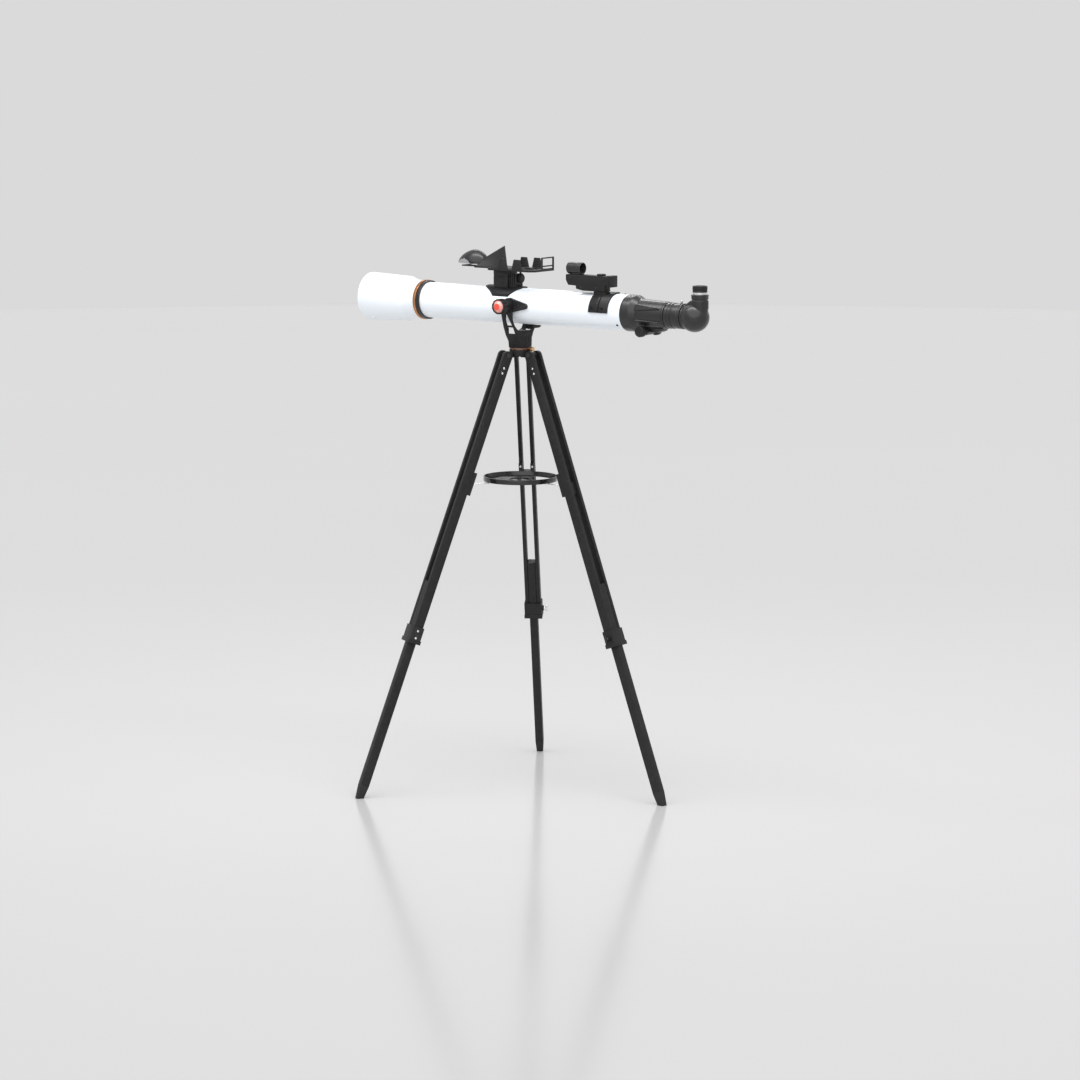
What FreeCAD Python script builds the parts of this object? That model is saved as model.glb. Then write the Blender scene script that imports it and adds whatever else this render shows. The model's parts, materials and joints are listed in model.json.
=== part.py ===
import FreeCAD, Part
import Sketcher
import math
import os

from FreeCAD import Placement, Rotation, Vector

# Refractor telescope on a yoke mount and a three-legged tripod.
# Frame: +Z up, floor at Z = 0, optical axis along X, objective toward -X and
# eyepiece toward +X. The pieces are drawn about the azimuth axis, and then all
# moved by axis_setback so that the origin is under the middle of the whole.

doc = FreeCAD.newDocument("telescope_on_tripod")
sheet = doc.addObject("Spreadsheet::Sheet", "Dims")

DIMENSIONS = [
    # the azimuth axis stands this far before the middle of the overall length
    ("axis_setback", 44.85),
    # tripod geometry
    ("foot_radius", 430.0),
    ("pivot_radius", 41.7),
    ("pivot_height", 1070.0),
    ("hub_radius", 27.0),
    ("hub_bottom", 1072.0),
    ("hub_top", 1087.4),
    ("hinge_rise", 6.0),
    ("hinge_radius", 39.65),
    ("hinge_height", 1075.64),
    ("lug_radius", 6.5),
    ("lug_thickness", 19.6),
    ("accent_radius", 26.5),
    ("accent_top", 1093.0),
    ("azimuth_bolt_radius", 6.0),
    ("running_fit", 0.06),
    ("pivot_bolt_radius", 3.0),
    ("pivot_head_radius", 5.5),
    ("pivot_head_height", 1.6),
    # legs, measured down the leg from its pivot
    ("rail_width", 9.0),
    ("rail_depth", 24.0),
    ("rail_gap", 20.4),
    ("rail_wall", 1.2),
    ("rail_start", 14.0),
    ("rail_finish", 733.0),
    ("knuckle_radius", 12.0),
    ("knuckle_rise", 4.0),
    ("spacer_start", 320.0),
    ("spacer_finish", 350.0),
    ("spacer_proud", 8.0),
    ("cheek_start", 292.0),
    ("clamp_start", 694.0),
    ("clamp_finish", 736.3),
    ("clamp_wall", 2.6),
    ("clamp_lip", 2.0),
    ("screw_head_radius", 2.4),
    ("screw_head_height", 1.0),
    ("lower_width", 19.6),
    ("lower_depth", 22.5),
    ("lower_wall", 1.5),
    ("lower_start", 579.3),
    ("lower_finish", 1104.0),
    ("foot_start", 1096.0),
    ("lock_position", 714.0),
    ("lock_shaft_radius", 2.5),
    # tray
    ("tray_radius", 91.0),
    ("tray_wall", 2.4),
    ("tray_bottom", 763.0),
    ("tray_height", 12.0),
    ("tray_floor", 2.0),
    ("tray_opening_inner", 30.0),
    ("tray_opening_outer", 82.0),
    ("eyepiece_hole_radius", 16.2),
    ("stay_pin_position", 326.0),
    ("stay_wire_radius", 1.3),
    ("stay_reach_radius", 85.0),
    # mount
    ("optical_height", 1195.0),
    ("yoke_base_half_depth", 17.0),
    ("yoke_top_half_depth", 13.6),
    ("yoke_base_half_width", 24.0),
    ("yoke_bottom_drop", 101.7),
    ("yoke_shoulder_drop", 70.0),
    ("yoke_valley_drop", 62.0),
    ("altitude_rise", 3.5),
    ("yoke_arm_inner", 50.0),
    ("yoke_arm_outer", 59.0),
    ("yoke_boss_radius", 15.5),
    ("yoke_boss_reach", 70.0),
    ("altitude_stub_radius", 6.0),
    ("knob_rim_radius", 18.8),
    ("knob_inner_face", 71.0),
    ("knob_outer_face", 91.5),
    ("knob_disc_radius", 15.9),
    ("knob_button_radius", 8.2),
    ("tension_drop", 55.0),
    # optical tube
    ("tube_radius", 44.0),
    ("tube_wall", 1.2),
    ("tube_front", -289.5),
    ("tube_rear", 328.0),
    ("shield_front", -464.0),
    ("shield_front_radius", 60.3),
    ("shield_mid", -345.0),
    ("shield_mid_radius", 55.5),
    ("shield_rear", -297.5),
    ("shield_rear_radius", 49.2),
    ("shield_wall", 2.0),
    ("shield_accent_rear", -289.5),
    ("shield_accent_bore", 44.5),
    ("cell_rear", -279.5),
    ("cell_radius", 48.2),
    ("lens_radius", 40.6),
    ("bracket_radius", 18.5),
    ("bracket_tip", 55.5),
    # focuser
    ("focuser_flange_finish", 353.0),
    ("focuser_neck", 367.0),
    ("focuser_neck_radius", 36.0),
    ("focuser_finish", 445.0),
    ("focuser_finish_radius", 32.0),
    ("focuser_bore", 27.9),
    ("draw_radius", 27.5),
    ("draw_inner", 24.0),
    ("draw_front", 350.0),
    ("collar_start", 445.6),
    ("collar_finish", 491.0),
    ("collar_radius", 30.4),
    ("pinion_x", 384.0),
    ("pinion_drop", 39.5),
    ("pinion_radius", 8.0),
    ("focus_knob_radius", 13.6),
    ("focus_knob_inner", 24.5),
    ("focus_knob_outer", 41.5),
    # diagonal and eyepiece
    ("diagonal_x", 518.0),
    ("diagonal_radius", 35.2),
    ("holder_x", 532.5),
    ("holder_radius", 20.2),
    ("holder_top", 54.0),
    ("eyepiece_barrel", 15.87),
    ("eyepiece_bottom", 20.0),
    ("band_bottom", 54.4),
    ("band_top", 60.0),
    ("band_radius", 17.3),
    ("eyecup_radius", 17.9),
    ("eyecup_top", 75.0),
    # finder
    ("finder_saddle_front", 239.0),
    ("finder_saddle_rear", 294.0),
    ("saddle_thickness", 4.0),
    ("sight_tube_radius", 14.4),
    ("sight_tube_bore", 12.4),
    ("sight_tube_height", 101.4),
    # phone dock
    ("dock_saddle_front", -95.0),
    ("dock_saddle_rear", 12.0),
    ("dock_saddle_half_width", 37.5),
    ("post_front", -67.0),
    ("post_rear", -24.0),
    ("post_half_width", 19.5),
    ("post_top", 86.0),
]

for row, (alias, value) in enumerate(DIMENSIONS, start=1):
    sheet.set("A%d" % row, alias)
    sheet.set("B%d" % row, str(value))
    sheet.setAlias("B%d" % row, alias)
doc.recompute()


def dim(alias):
    return float(sheet.get(alias))


def bind(obj, prop, value):
    """Set a property from a number, or bind it to an expression on the sheet."""
    if isinstance(value, str):
        obj.setExpression(prop, value)
    else:
        setattr(obj, prop, value)


def place(obj, x=0.0, y=0.0, z=0.0, rotation=None):
    base = []
    for value in (x, y, z):
        base.append(number(value))
    obj.Placement = Placement(Vector(*base), rotation or Rotation())
    for axis, value in zip("xyz", (x, y, z)):
        if isinstance(value, str):
            obj.setExpression("Placement.Base." + axis, value)
    return obj


def number(value):
    """The value of an expression on the sheet, or the number itself."""
    if isinstance(value, str):
        return float(sheet.evalExpression(value))
    return float(value)


AXIS_X = Rotation(Vector(0, 1, 0), 90)
AXIS_Y = Rotation(Vector(1, 0, 0), -90)


def box(name, length, width, height, x=0.0, y=0.0, z=0.0, rotation=None):
    obj = doc.addObject("Part::Box", name)
    bind(obj, "Length", length)
    bind(obj, "Width", width)
    bind(obj, "Height", height)
    return place(obj, x, y, z, rotation)


def cylinder(name, radius, height, x=0.0, y=0.0, z=0.0, rotation=None, angle=360.0):
    obj = doc.addObject("Part::Cylinder", name)
    bind(obj, "Radius", radius)
    bind(obj, "Height", height)
    obj.Angle = angle
    return place(obj, x, y, z, rotation)


def cone(name, radius1, radius2, height, x=0.0, y=0.0, z=0.0, rotation=None):
    obj = doc.addObject("Part::Cone", name)
    bind(obj, "Radius1", radius1)
    bind(obj, "Radius2", radius2)
    bind(obj, "Height", height)
    return place(obj, x, y, z, rotation)


def fuse(name, pieces):
    if len(pieces) == 1:
        return pieces[0]
    obj = doc.addObject("Part::MultiFuse", name)
    obj.Shapes = pieces
    obj.Refine = True
    return obj


def cut(name, base, tool):
    obj = doc.addObject("Part::Cut", name)
    obj.Base = base
    obj.Tool = tool
    obj.Refine = True
    return obj


def group(name, pieces):
    obj = doc.addObject("Part::Compound", name)
    obj.Links = pieces
    return obj


def outline(body, name, role, points):
    """A closed sketch on an origin plane: (x, y) corners, each bound to the sheet.

    A third value on a corner makes the side that leaves it an arc of that radius;
    its sign says to which side the arc bulges.
    """
    sketch = body.newObject("Sketcher::SketchObject", name)
    plane = [f for f in body.Origin.OriginFeatures if f.Role == role][0]
    sketch.AttachmentSupport = [(plane, "")]
    sketch.MapMode = "FlatFace"
    corners = [Vector(number(p[0]), number(p[1]), 0) for p in points]
    count = len(points)
    for i, point in enumerate(points):
        start = corners[i]
        finish = corners[(i + 1) % count]
        if len(point) == 2:
            sketch.addGeometry(Part.LineSegment(start, finish), False)
            continue
        radius = abs(number(point[2]))
        side = math.copysign(1.0, number(point[2]))
        chord = finish - start
        normal = Vector(-chord.y, chord.x, 0).normalize() * side
        rise = radius - math.sqrt(radius ** 2 - (chord.Length / 2) ** 2)
        middle = (start + finish) * 0.5 + normal * rise
        sketch.addGeometry(Part.Arc(start, middle, finish), False)
    ends = []
    for i, point in enumerate(points):
        if len(point) == 2:
            ends.append((1, 2))
            continue
        forward = (sketch.getPoint(i, 1) - corners[i]).Length < 1e-6
        ends.append((1, 2) if forward else (2, 1))
    for i in range(count):
        follow = (i + 1) % count
        sketch.addConstraint(
            Sketcher.Constraint("Coincident", i, ends[i][1], follow, ends[follow][0])
        )
    for i, point in enumerate(points):
        for kind, value, now in (
            ("DistanceX", point[0], corners[i].x),
            ("DistanceY", point[1], corners[i].y),
        ):
            index = sketch.addConstraint(
                Sketcher.Constraint(kind, -1, 1, i, ends[i][0], now)
            )
            if isinstance(value, str):
                sketch.setExpression("Constraints[%d]" % index, value)
        if len(point) == 3:
            radius = abs(number(point[2]))
            sketch.addConstraint(Sketcher.Constraint("Radius", i, radius))
    return sketch


def revolved(name, points, x=0.0, z=0.0, rotation=None):
    """A solid of revolution about its own X axis from (x, radius) corners."""
    body = doc.addObject("PartDesign::Body", name)
    sketch = outline(body, name + "_profile", "XZ_Plane", points)
    turn = body.newObject("PartDesign::Revolution", name + "_turn")
    turn.Profile = sketch
    turn.ReferenceAxis = (sketch, ["H_Axis"])
    turn.Angle = 360.0
    return place(body, x, 0.0, z, rotation)


def padded(name, role, points, depth, x=0.0, y=0.0, z=0.0, rotation=None):
    """A solid padded both ways from an origin plane, depth in all."""
    body = doc.addObject("PartDesign::Body", name)
    sketch = outline(body, name + "_profile", role, points)
    pad = body.newObject("PartDesign::Pad", name + "_pad")
    pad.Profile = sketch
    pad.SideType = "Symmetric"
    bind(pad, "Length", depth)
    return place(body, x, y, z, rotation)


def common(name, base, tool):
    obj = doc.addObject("Part::Common", name)
    obj.Base = base
    obj.Tool = tool
    obj.Refine = True
    return obj


NODES = []
SETBACK = Placement(Vector(-dim("axis_setback"), 0, 0), Rotation())


def node(label, obj, placement=Placement()):
    """Name a finished piece and set it in its place on the object."""
    obj.Label = label
    NODES.append((label, obj, SETBACK.multiply(placement)))
    return obj


OPTICAL_Z = dim("optical_height")
UPRIGHT = Placement(Vector(0, 0, OPTICAL_Z), Rotation())
LEG_TILT = math.degrees(
    math.atan2(dim("foot_radius") - dim("pivot_radius"), dim("pivot_height"))
)
LEGS = [("rear", 0.0), ("left", 240.0), ("right", 120.0)]


def leg_placement(azimuth):
    turn = Rotation(Vector(0, 0, 1), azimuth)
    radius = dim("pivot_radius")
    hinge = turn.multVec(Vector(radius, 0, 0)) + Vector(0, 0, dim("pivot_height"))
    return Placement(hinge, turn.multiply(Rotation(Vector(0, 1, 0), -LEG_TILT)))


def around(azimuth):
    return Placement(Vector(), Rotation(Vector(0, 0, 1), azimuth))


# Tripod hub: a disc with three lugs, one for each leg, and its fasteners.

hub_solids = [
    cylinder(
        "hub_disc",
        "Dims.hub_radius",
        "Dims.hub_top - Dims.hub_bottom",
        z="Dims.hub_bottom",
    ),
]
hub_holes = [
    cylinder("hub_bore", "Dims.azimuth_bolt_radius", 60.0, z=1040.0),
    cylinder("hub_nut_seat", 11.0, 10.0, z=1066.7),
]
pivot_bolts = []
for leg, azimuth in LEGS:
    lug = box(
        "lug_" + leg,
        "Dims.hinge_radius - 8",
        "Dims.lug_thickness",
        "2 * Dims.lug_radius",
        8.0,
        "-Dims.lug_thickness / 2",
        "Dims.hinge_height - Dims.lug_radius",
    )
    lug_end = cylinder(
        "lug_end_" + leg,
        "Dims.lug_radius",
        "Dims.lug_thickness",
        "Dims.hinge_radius",
        "-Dims.lug_thickness / 2",
        "Dims.hinge_height",
        AXIS_Y,
    )
    hub_lug = fuse("hub_lug_" + leg, [lug, lug_end])
    hub_lug.Placement = around(azimuth)
    hub_solids.append(hub_lug)
    hole = cylinder(
        "lug_hole_" + leg,
        "Dims.pivot_bolt_radius",
        30.0,
        "Dims.hinge_radius",
        -15.0,
        "Dims.hinge_height",
        AXIS_Y,
    )
    lug_hole = group("lug_drill_" + leg, [hole])
    lug_hole.Placement = around(azimuth)
    hub_holes.append(lug_hole)
    shank = cylinder(
        "pivot_shank_" + leg,
        "Dims.pivot_bolt_radius",
        "Dims.rail_gap + 2 * Dims.rail_width",
        "Dims.hinge_radius",
        "-Dims.rail_gap / 2 - Dims.rail_width",
        "Dims.hinge_height",
        AXIS_Y,
    )
    heads = []
    for end, y in (
        ("near", "-Dims.rail_gap / 2 - Dims.rail_width - Dims.pivot_head_height"),
        ("far", "Dims.rail_gap / 2 + Dims.rail_width"),
    ):
        heads.append(
            cylinder(
                "pivot_head_%s_%s" % (leg, end),
                "Dims.pivot_head_radius",
                "Dims.pivot_head_height",
                "Dims.hinge_radius",
                y,
                "Dims.hinge_height",
                AXIS_Y,
            )
        )
    bolt = fuse("pivot_bolt_" + leg, [shank] + heads)
    bolt.Placement = around(azimuth)
    pivot_bolts.append(bolt)
node("tripod_hub", cut("hub", fuse("hub_body", hub_solids), fuse("hub_drills", hub_holes)))
node("leg_pivot_bolts", group("pivot_bolts", pivot_bolts))

accent_disc = cylinder(
    "accent_disc",
    "Dims.accent_radius",
    "Dims.accent_top - Dims.hub_top",
    z="Dims.hub_top",
)
accent_bore = cylinder("accent_bore", "Dims.azimuth_bolt_radius", 20.0, z=1080.0)
screw_bore = cylinder("azimuth_screw_bore", 1.66, 30.0, 8.0, 0.0, 1090.2, AXIS_X)
node(
    "hub_accent_ring",
    cut("accent_ring", accent_disc, fuse("accent_bores", [accent_bore, screw_bore])),
)

node(
    "azimuth_bolt",
    fuse(
        "azimuth_pin",
        [
            cylinder("azimuth_shaft", "Dims.azimuth_bolt_radius", 46.0, z=1072.0),
            cylinder("azimuth_nut", 10.5, 4.4, z=1072.2),
        ],
    ),
)

azimuth_stem = cylinder("azimuth_stem", 1.6, 24.0, 8.0, 0.0, 1090.2, AXIS_X)
azimuth_grip = cone("azimuth_grip", 3.6, 5.4, 9.0, 30.2, 0.0, 1090.2, AXIS_X)
azimuth_nose = cone("azimuth_nose", 5.4, 4.2, 2.0, 39.2, 0.0, 1090.2, AXIS_X)
node(
    "azimuth_lock_knob",
    fuse("azimuth_knob", [azimuth_stem, azimuth_grip, azimuth_nose]),
)

# Legs. Each is built about its own hinge with the leg hanging straight down,
# then tilted and turned to its place. Positions are measured down the leg.


def rail_pair(leg):
    rails = []
    for side, y in (
        ("near", "-Dims.rail_gap / 2 - Dims.rail_width"),
        ("far", "Dims.rail_gap / 2"),
    ):
        tag = "%s_%s" % (leg, side)
        outer = box(
            "rail_outer_" + tag,
            "Dims.rail_depth",
            "Dims.rail_width",
            "Dims.rail_finish - Dims.rail_start",
            "-Dims.rail_depth / 2",
            y,
            "-Dims.rail_finish",
        )
        hollow = box(
            "rail_hollow_" + tag,
            "Dims.rail_depth - 2 * Dims.rail_wall",
            "Dims.rail_width - 2 * Dims.rail_wall",
            "Dims.rail_finish - Dims.rail_start + 2",
            "Dims.rail_wall - Dims.rail_depth / 2",
            y + " + Dims.rail_wall",
            "-Dims.rail_finish - 1",
        )
        drills = [hollow]
        if side == "near":
            drills.append(
                cylinder(
                    "rail_drill_" + leg,
                    "Dims.lock_shaft_radius + Dims.running_fit",
                    16.0,
                    0.0,
                    -24.0,
                    "-Dims.lock_position",
                    AXIS_Y,
                )
            )
        rails.append(cut("rail_" + tag, outer, fuse("rail_cuts_" + tag, drills)))
    return group("rails_" + leg, rails)


def leg_spacers(leg):
    head = box(
        "knuckle_head_" + leg,
        "2 * Dims.knuckle_radius",
        "Dims.rail_gap + 2 * Dims.rail_width",
        "Dims.rail_start + Dims.knuckle_rise",
        "-Dims.knuckle_radius",
        "-Dims.rail_gap / 2 - Dims.rail_width",
        "-Dims.rail_start",
    )
    crown = cylinder(
        "knuckle_crown_" + leg,
        "Dims.knuckle_radius",
        "Dims.rail_gap + 2 * Dims.rail_width",
        0.0,
        "-Dims.rail_gap / 2 - Dims.rail_width",
        "Dims.knuckle_rise",
        AXIS_Y,
    )
    slot = box(
        "knuckle_slot_" + leg,
        40.0,
        "Dims.rail_gap",
        60.0,
        -20.0,
        "-Dims.rail_gap / 2",
        "-Dims.rail_start - 10",
    )
    eye = cylinder(
        "knuckle_eye_" + leg,
        "Dims.pivot_bolt_radius + Dims.running_fit",
        60.0,
        0.0,
        -30.0,
        "Dims.hinge_rise",
        AXIS_Y,
    )
    knuckle = cut(
        "knuckle_" + leg,
        fuse("knuckle_body_" + leg, [head, crown]),
        fuse("knuckle_cuts_" + leg, [slot, eye]),
    )
    block = box(
        "spacer_block_" + leg,
        "Dims.rail_depth / 2 + Dims.spacer_proud + 6",
        "Dims.rail_gap",
        "Dims.spacer_finish - Dims.spacer_start",
        "-Dims.rail_depth / 2 - Dims.spacer_proud",
        "-Dims.rail_gap / 2",
        "-Dims.spacer_finish",
    )
    cheeks = []
    for side, y in (
        ("near", "-Dims.rail_gap / 2 - Dims.rail_width"),
        ("far", "Dims.rail_gap / 2"),
    ):
        cheeks.append(
            box(
                "spacer_cheek_%s_%s" % (leg, side),
                "Dims.spacer_proud",
                "Dims.rail_width",
                "Dims.spacer_finish - Dims.cheek_start",
                "-Dims.rail_depth / 2 - Dims.spacer_proud",
                y,
                "-Dims.spacer_finish",
            )
        )
    wire_slot = box(
        "spacer_slot_" + leg,
        13.5,
        4.4,
        "Dims.spacer_finish - Dims.stay_pin_position + 9",
        "-Dims.rail_depth / 2 - Dims.spacer_proud - 1",
        -2.2,
        "-Dims.spacer_finish - 1",
    )
    pin_hole = cylinder(
        "spacer_hole_" + leg,
        1.56,
        14.0,
        -12.5,
        -7.0,
        "-Dims.stay_pin_position",
        AXIS_Y,
    )
    spacer = cut(
        "spacer_" + leg,
        fuse("spacer_body_" + leg, [block] + cheeks),
        fuse("spacer_cuts_" + leg, [wire_slot, pin_hole]),
    )
    return group("spacers_" + leg, [knuckle, spacer])


def leg_clamp(leg):
    half_depth = "Dims.rail_depth / 2 + Dims.clamp_wall"
    half_width = "Dims.rail_gap / 2 + Dims.rail_width + Dims.clamp_wall"
    sleeve = box(
        "clamp_sleeve_" + leg,
        "2 * (%s)" % half_depth,
        "2 * (%s)" % half_width,
        "Dims.clamp_finish - Dims.clamp_start",
        "-(%s)" % half_depth,
        "-(%s)" % half_width,
        "-Dims.clamp_finish",
    )
    lip = box(
        "clamp_lip_" + leg,
        "2 * (%s + Dims.clamp_lip)" % half_depth,
        "2 * (%s + 0.8)" % half_width,
        10.0,
        "-(%s + Dims.clamp_lip)" % half_depth,
        "-(%s + 0.8)" % half_width,
        "-Dims.clamp_finish",
    )
    pad = cylinder(
        "clamp_pad_" + leg,
        7.0,
        5.0,
        0.0,
        "-(%s) - 4" % half_width,
        "-Dims.lock_position",
        AXIS_Y,
    )
    rail_pocket = box(
        "clamp_pocket_" + leg,
        "Dims.rail_depth",
        "Dims.rail_gap + 2 * Dims.rail_width",
        "Dims.rail_finish - Dims.clamp_start + 5",
        "-Dims.rail_depth / 2",
        "-Dims.rail_gap / 2 - Dims.rail_width",
        "-Dims.rail_finish",
    )
    leg_hole = box(
        "clamp_leg_hole_" + leg,
        "Dims.lower_depth + 0.8",
        "Dims.lower_width + 0.8",
        20.0,
        "-Dims.lower_depth / 2 - 0.4",
        "-Dims.lower_width / 2 - 0.4",
        "-Dims.clamp_finish - 5",
    )
    drill = cylinder(
        "clamp_drill_" + leg,
        "Dims.lock_shaft_radius + Dims.running_fit",
        20.0,
        0.0,
        -30.0,
        "-Dims.lock_position",
        AXIS_Y,
    )
    return cut(
        "clamp_" + leg,
        fuse("clamp_body_" + leg, [sleeve, lip, pad]),
        fuse("clamp_cuts_" + leg, [rail_pocket, leg_hole, drill]),
    )


def leg_screws(leg):
    """Round screw heads standing on the faces that they hold."""
    heads = []
    flank = dim("rail_gap") / 2 + dim("rail_width")
    places = []
    for down in (27.5, 40.5):
        places.append((0.0, flank, down, AXIS_Y))
        places.append((0.0, -flank, down, Rotation(Vector(1, 0, 0), 90)))
    for down in (704.0, 722.0):
        places.append((0.0, flank + dim("clamp_wall"), down, AXIS_Y))
    for across in (-14.7, 14.7):
        inward = Rotation(Vector(0, 1, 0), -90)
        places.append((-dim("rail_depth") / 2 - dim("spacer_proud"), across, 300.0, inward))
    for index, (x, y, down, rotation) in enumerate(places):
        heads.append(
            cone(
                "screw_%s_%d" % (leg, index),
                "Dims.screw_head_radius",
                "Dims.screw_head_radius * 0.6",
                "Dims.screw_head_height",
                x,
                y,
                -down,
                rotation,
            )
        )
    return group("screws_" + leg, heads)


def lower_leg(leg):
    outer = box(
        "lower_outer_" + leg,
        "Dims.lower_depth",
        "Dims.lower_width",
        "Dims.lower_finish - Dims.lower_start",
        "-Dims.lower_depth / 2",
        "-Dims.lower_width / 2",
        "-Dims.lower_finish",
    )
    hollow = box(
        "lower_hollow_" + leg,
        "Dims.lower_depth - 2 * Dims.lower_wall",
        "Dims.lower_width - 2 * Dims.lower_wall",
        "Dims.lower_finish - Dims.lower_start + 2",
        "Dims.lower_wall - Dims.lower_depth / 2",
        "Dims.lower_wall - Dims.lower_width / 2",
        "-Dims.lower_finish - 1",
    )
    return cut("lower_" + leg, outer, hollow)


def foot_tip(leg, azimuth):
    """A rubber plug that tapers to a foot cut off level with the floor."""
    plug = box(
        "foot_plug_" + leg,
        "Dims.lower_depth - 2 * Dims.lower_wall",
        "Dims.lower_width - 2 * Dims.lower_wall",
        "Dims.lower_finish - Dims.foot_start",
        "Dims.lower_wall - Dims.lower_depth / 2",
        "Dims.lower_wall - Dims.lower_width / 2",
        "-Dims.lower_finish",
    )
    taper = doc.addObject("Part::Wedge", "foot_taper_" + leg)
    for prop, value in (
        ("Xmin", "-Dims.lower_depth / 2"),
        ("Xmax", "Dims.lower_depth / 2"),
        ("Zmin", "-Dims.lower_width / 2"),
        ("Zmax", "Dims.lower_width / 2"),
        ("X2min", "-Dims.lower_depth * 0.34"),
        ("X2max", "Dims.lower_depth * 0.34"),
        ("Z2min", "-Dims.lower_width * 0.36"),
        ("Z2max", "Dims.lower_width * 0.36"),
        ("Ymin", "Dims.lower_finish"),
        ("Ymax", "Dims.lower_finish + 42"),
    ):
        taper.setExpression(prop, value)
    taper.Placement = Placement(Vector(), Rotation(Vector(1, 0, 0), -90))
    tip = fuse("foot_body_" + leg, [plug, taper])
    tip.Placement = leg_placement(azimuth)
    floor = box("floor_cut_" + leg, 1200.0, 1200.0, 60.0, -600.0, -600.0, -60.0)
    return cut("foot_" + leg, tip, floor)


def lock_screw(leg):
    shaft_start = "-Dims.lower_width / 2 - 0.6"
    shaft = cylinder(
        "lock_shaft_" + leg,
        "Dims.lock_shaft_radius",
        22.0,
        0.0,
        shaft_start,
        "-Dims.lock_position",
        Rotation(Vector(1, 0, 0), 90),
    )
    collar = cylinder(
        "lock_collar_" + leg,
        4.4,
        4.6,
        0.0,
        -26.4,
        "-Dims.lock_position",
        Rotation(Vector(1, 0, 0), 90),
    )
    wings = box(
        "lock_wings_" + leg, 3.2, 6.6, 17.0, -1.6, -36.6, "-Dims.lock_position - 8.5"
    )
    return fuse("lock_" + leg, [shaft, collar, wings])


def tray_stay(leg):
    """A wire from the leg's spacer to under the tray, built toward +X."""
    tilt = math.radians(LEG_TILT)
    down = dim("stay_pin_position")
    inset = -12.5
    pin_x = dim("pivot_radius") + inset * math.cos(tilt) + down * math.sin(tilt)
    pin_z = dim("pivot_height") + inset * math.sin(tilt) - down * math.cos(tilt)
    end_x = dim("stay_reach_radius")
    end_z = dim("tray_bottom") - 2.0
    pin = cylinder("stay_pin_" + leg, 1.5, 13.0, pin_x, -6.5, pin_z, AXIS_Y)
    run = Vector(end_x - pin_x, 0, end_z - pin_z)
    wire = cylinder(
        "stay_wire_" + leg,
        "Dims.stay_wire_radius",
        run.Length,
        pin_x,
        0.0,
        pin_z,
        Rotation(Vector(0, 0, 1), run),
    )
    eye = cylinder("stay_eye_" + leg, 5.2, 3.2, end_x - 3.0, 0.0, end_z - 1.6)
    hole = cylinder("stay_hole_" + leg, 2.0, 9.0, end_x - 4.4, 0.0, end_z - 4.5)
    return cut("stay_" + leg, fuse("stay_solid_" + leg, [pin, wire, eye]), hole)


for leg, azimuth in LEGS:
    place_leg = leg_placement(azimuth)
    node("leg_rails_" + leg, rail_pair(leg), place_leg)
    node("leg_spacers_" + leg, leg_spacers(leg), place_leg)
    node("leg_clamp_" + leg, leg_clamp(leg), place_leg)
    node("leg_screws_" + leg, leg_screws(leg), place_leg)
    node("lower_leg_" + leg, lower_leg(leg), place_leg)
    node("foot_tip_" + leg, foot_tip(leg, azimuth))
    node("leg_lock_screw_" + leg, lock_screw(leg), place_leg)
    node("tray_stay_" + leg, tray_stay(leg), around(azimuth))

# Accessory tray: a ring wall with a floor, one large opening and three holes
# for eyepieces.

tray_disc = cylinder(
    "tray_disc", "Dims.tray_radius", "Dims.tray_height", z="Dims.tray_bottom"
)
tray_well = cylinder(
    "tray_well",
    "Dims.tray_radius - Dims.tray_wall",
    "Dims.tray_height",
    z="Dims.tray_bottom + Dims.tray_floor",
)
opening_outer = cylinder(
    "opening_outer",
    "Dims.tray_opening_outer",
    10.0,
    z="Dims.tray_bottom - 4",
    angle=84.0,
)
opening_inner = cylinder(
    "opening_inner", "Dims.tray_opening_inner", 12.0, z="Dims.tray_bottom - 5"
)
opening = cut("tray_opening", opening_outer, opening_inner)
opening.Placement = around(18.0)
tray_cuts = [tray_well, opening]
for index, bearing in enumerate((255.0, 300.0, 345.0)):
    tray_cuts.append(
        cylinder(
            "eyepiece_hole_%d" % index,
            "Dims.eyepiece_hole_radius",
            10.0,
            60.0 * math.cos(math.radians(bearing)),
            60.0 * math.sin(math.radians(bearing)),
            "Dims.tray_bottom - 4",
        )
    )
node("accessory_tray", cut("tray", tray_disc, fuse("tray_cuts", tray_cuts)))

# Yoke fork, drawn about the altitude axis and then raised to it.

fork_outline = [
    ("-Dims.yoke_base_half_width", "-Dims.yoke_bottom_drop"),
    (-26.0, -86.0),
    (-37.0, "-Dims.yoke_shoulder_drop"),
    (-47.0, -50.0),
    ("-Dims.yoke_arm_outer", -14.0),
    ("-Dims.yoke_arm_outer", "Dims.altitude_rise"),
    ("-Dims.yoke_arm_inner", "Dims.altitude_rise"),
    ("-Dims.yoke_arm_inner", -30.0, -43.2),
    (-19.0, "-Dims.yoke_valley_drop"),
    (17.0, "-Dims.yoke_valley_drop"),
    (27.5, -57.0),
    (32.0, -47.0),
    (38.0, -36.0),
    ("Dims.yoke_arm_inner", -26.0),
    ("Dims.yoke_arm_inner", "Dims.altitude_rise"),
    ("Dims.yoke_arm_outer", "Dims.altitude_rise"),
    ("Dims.yoke_arm_outer", -18.0),
    (44.0, -48.0),
    (31.0, "4 - Dims.yoke_shoulder_drop"),
    (25.0, -79.0),
    ("Dims.yoke_base_half_width", "-Dims.yoke_bottom_drop"),
]
fork = padded("fork", "YZ_Plane", fork_outline, "2 * Dims.yoke_base_half_depth")
fork_cuts = []
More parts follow.
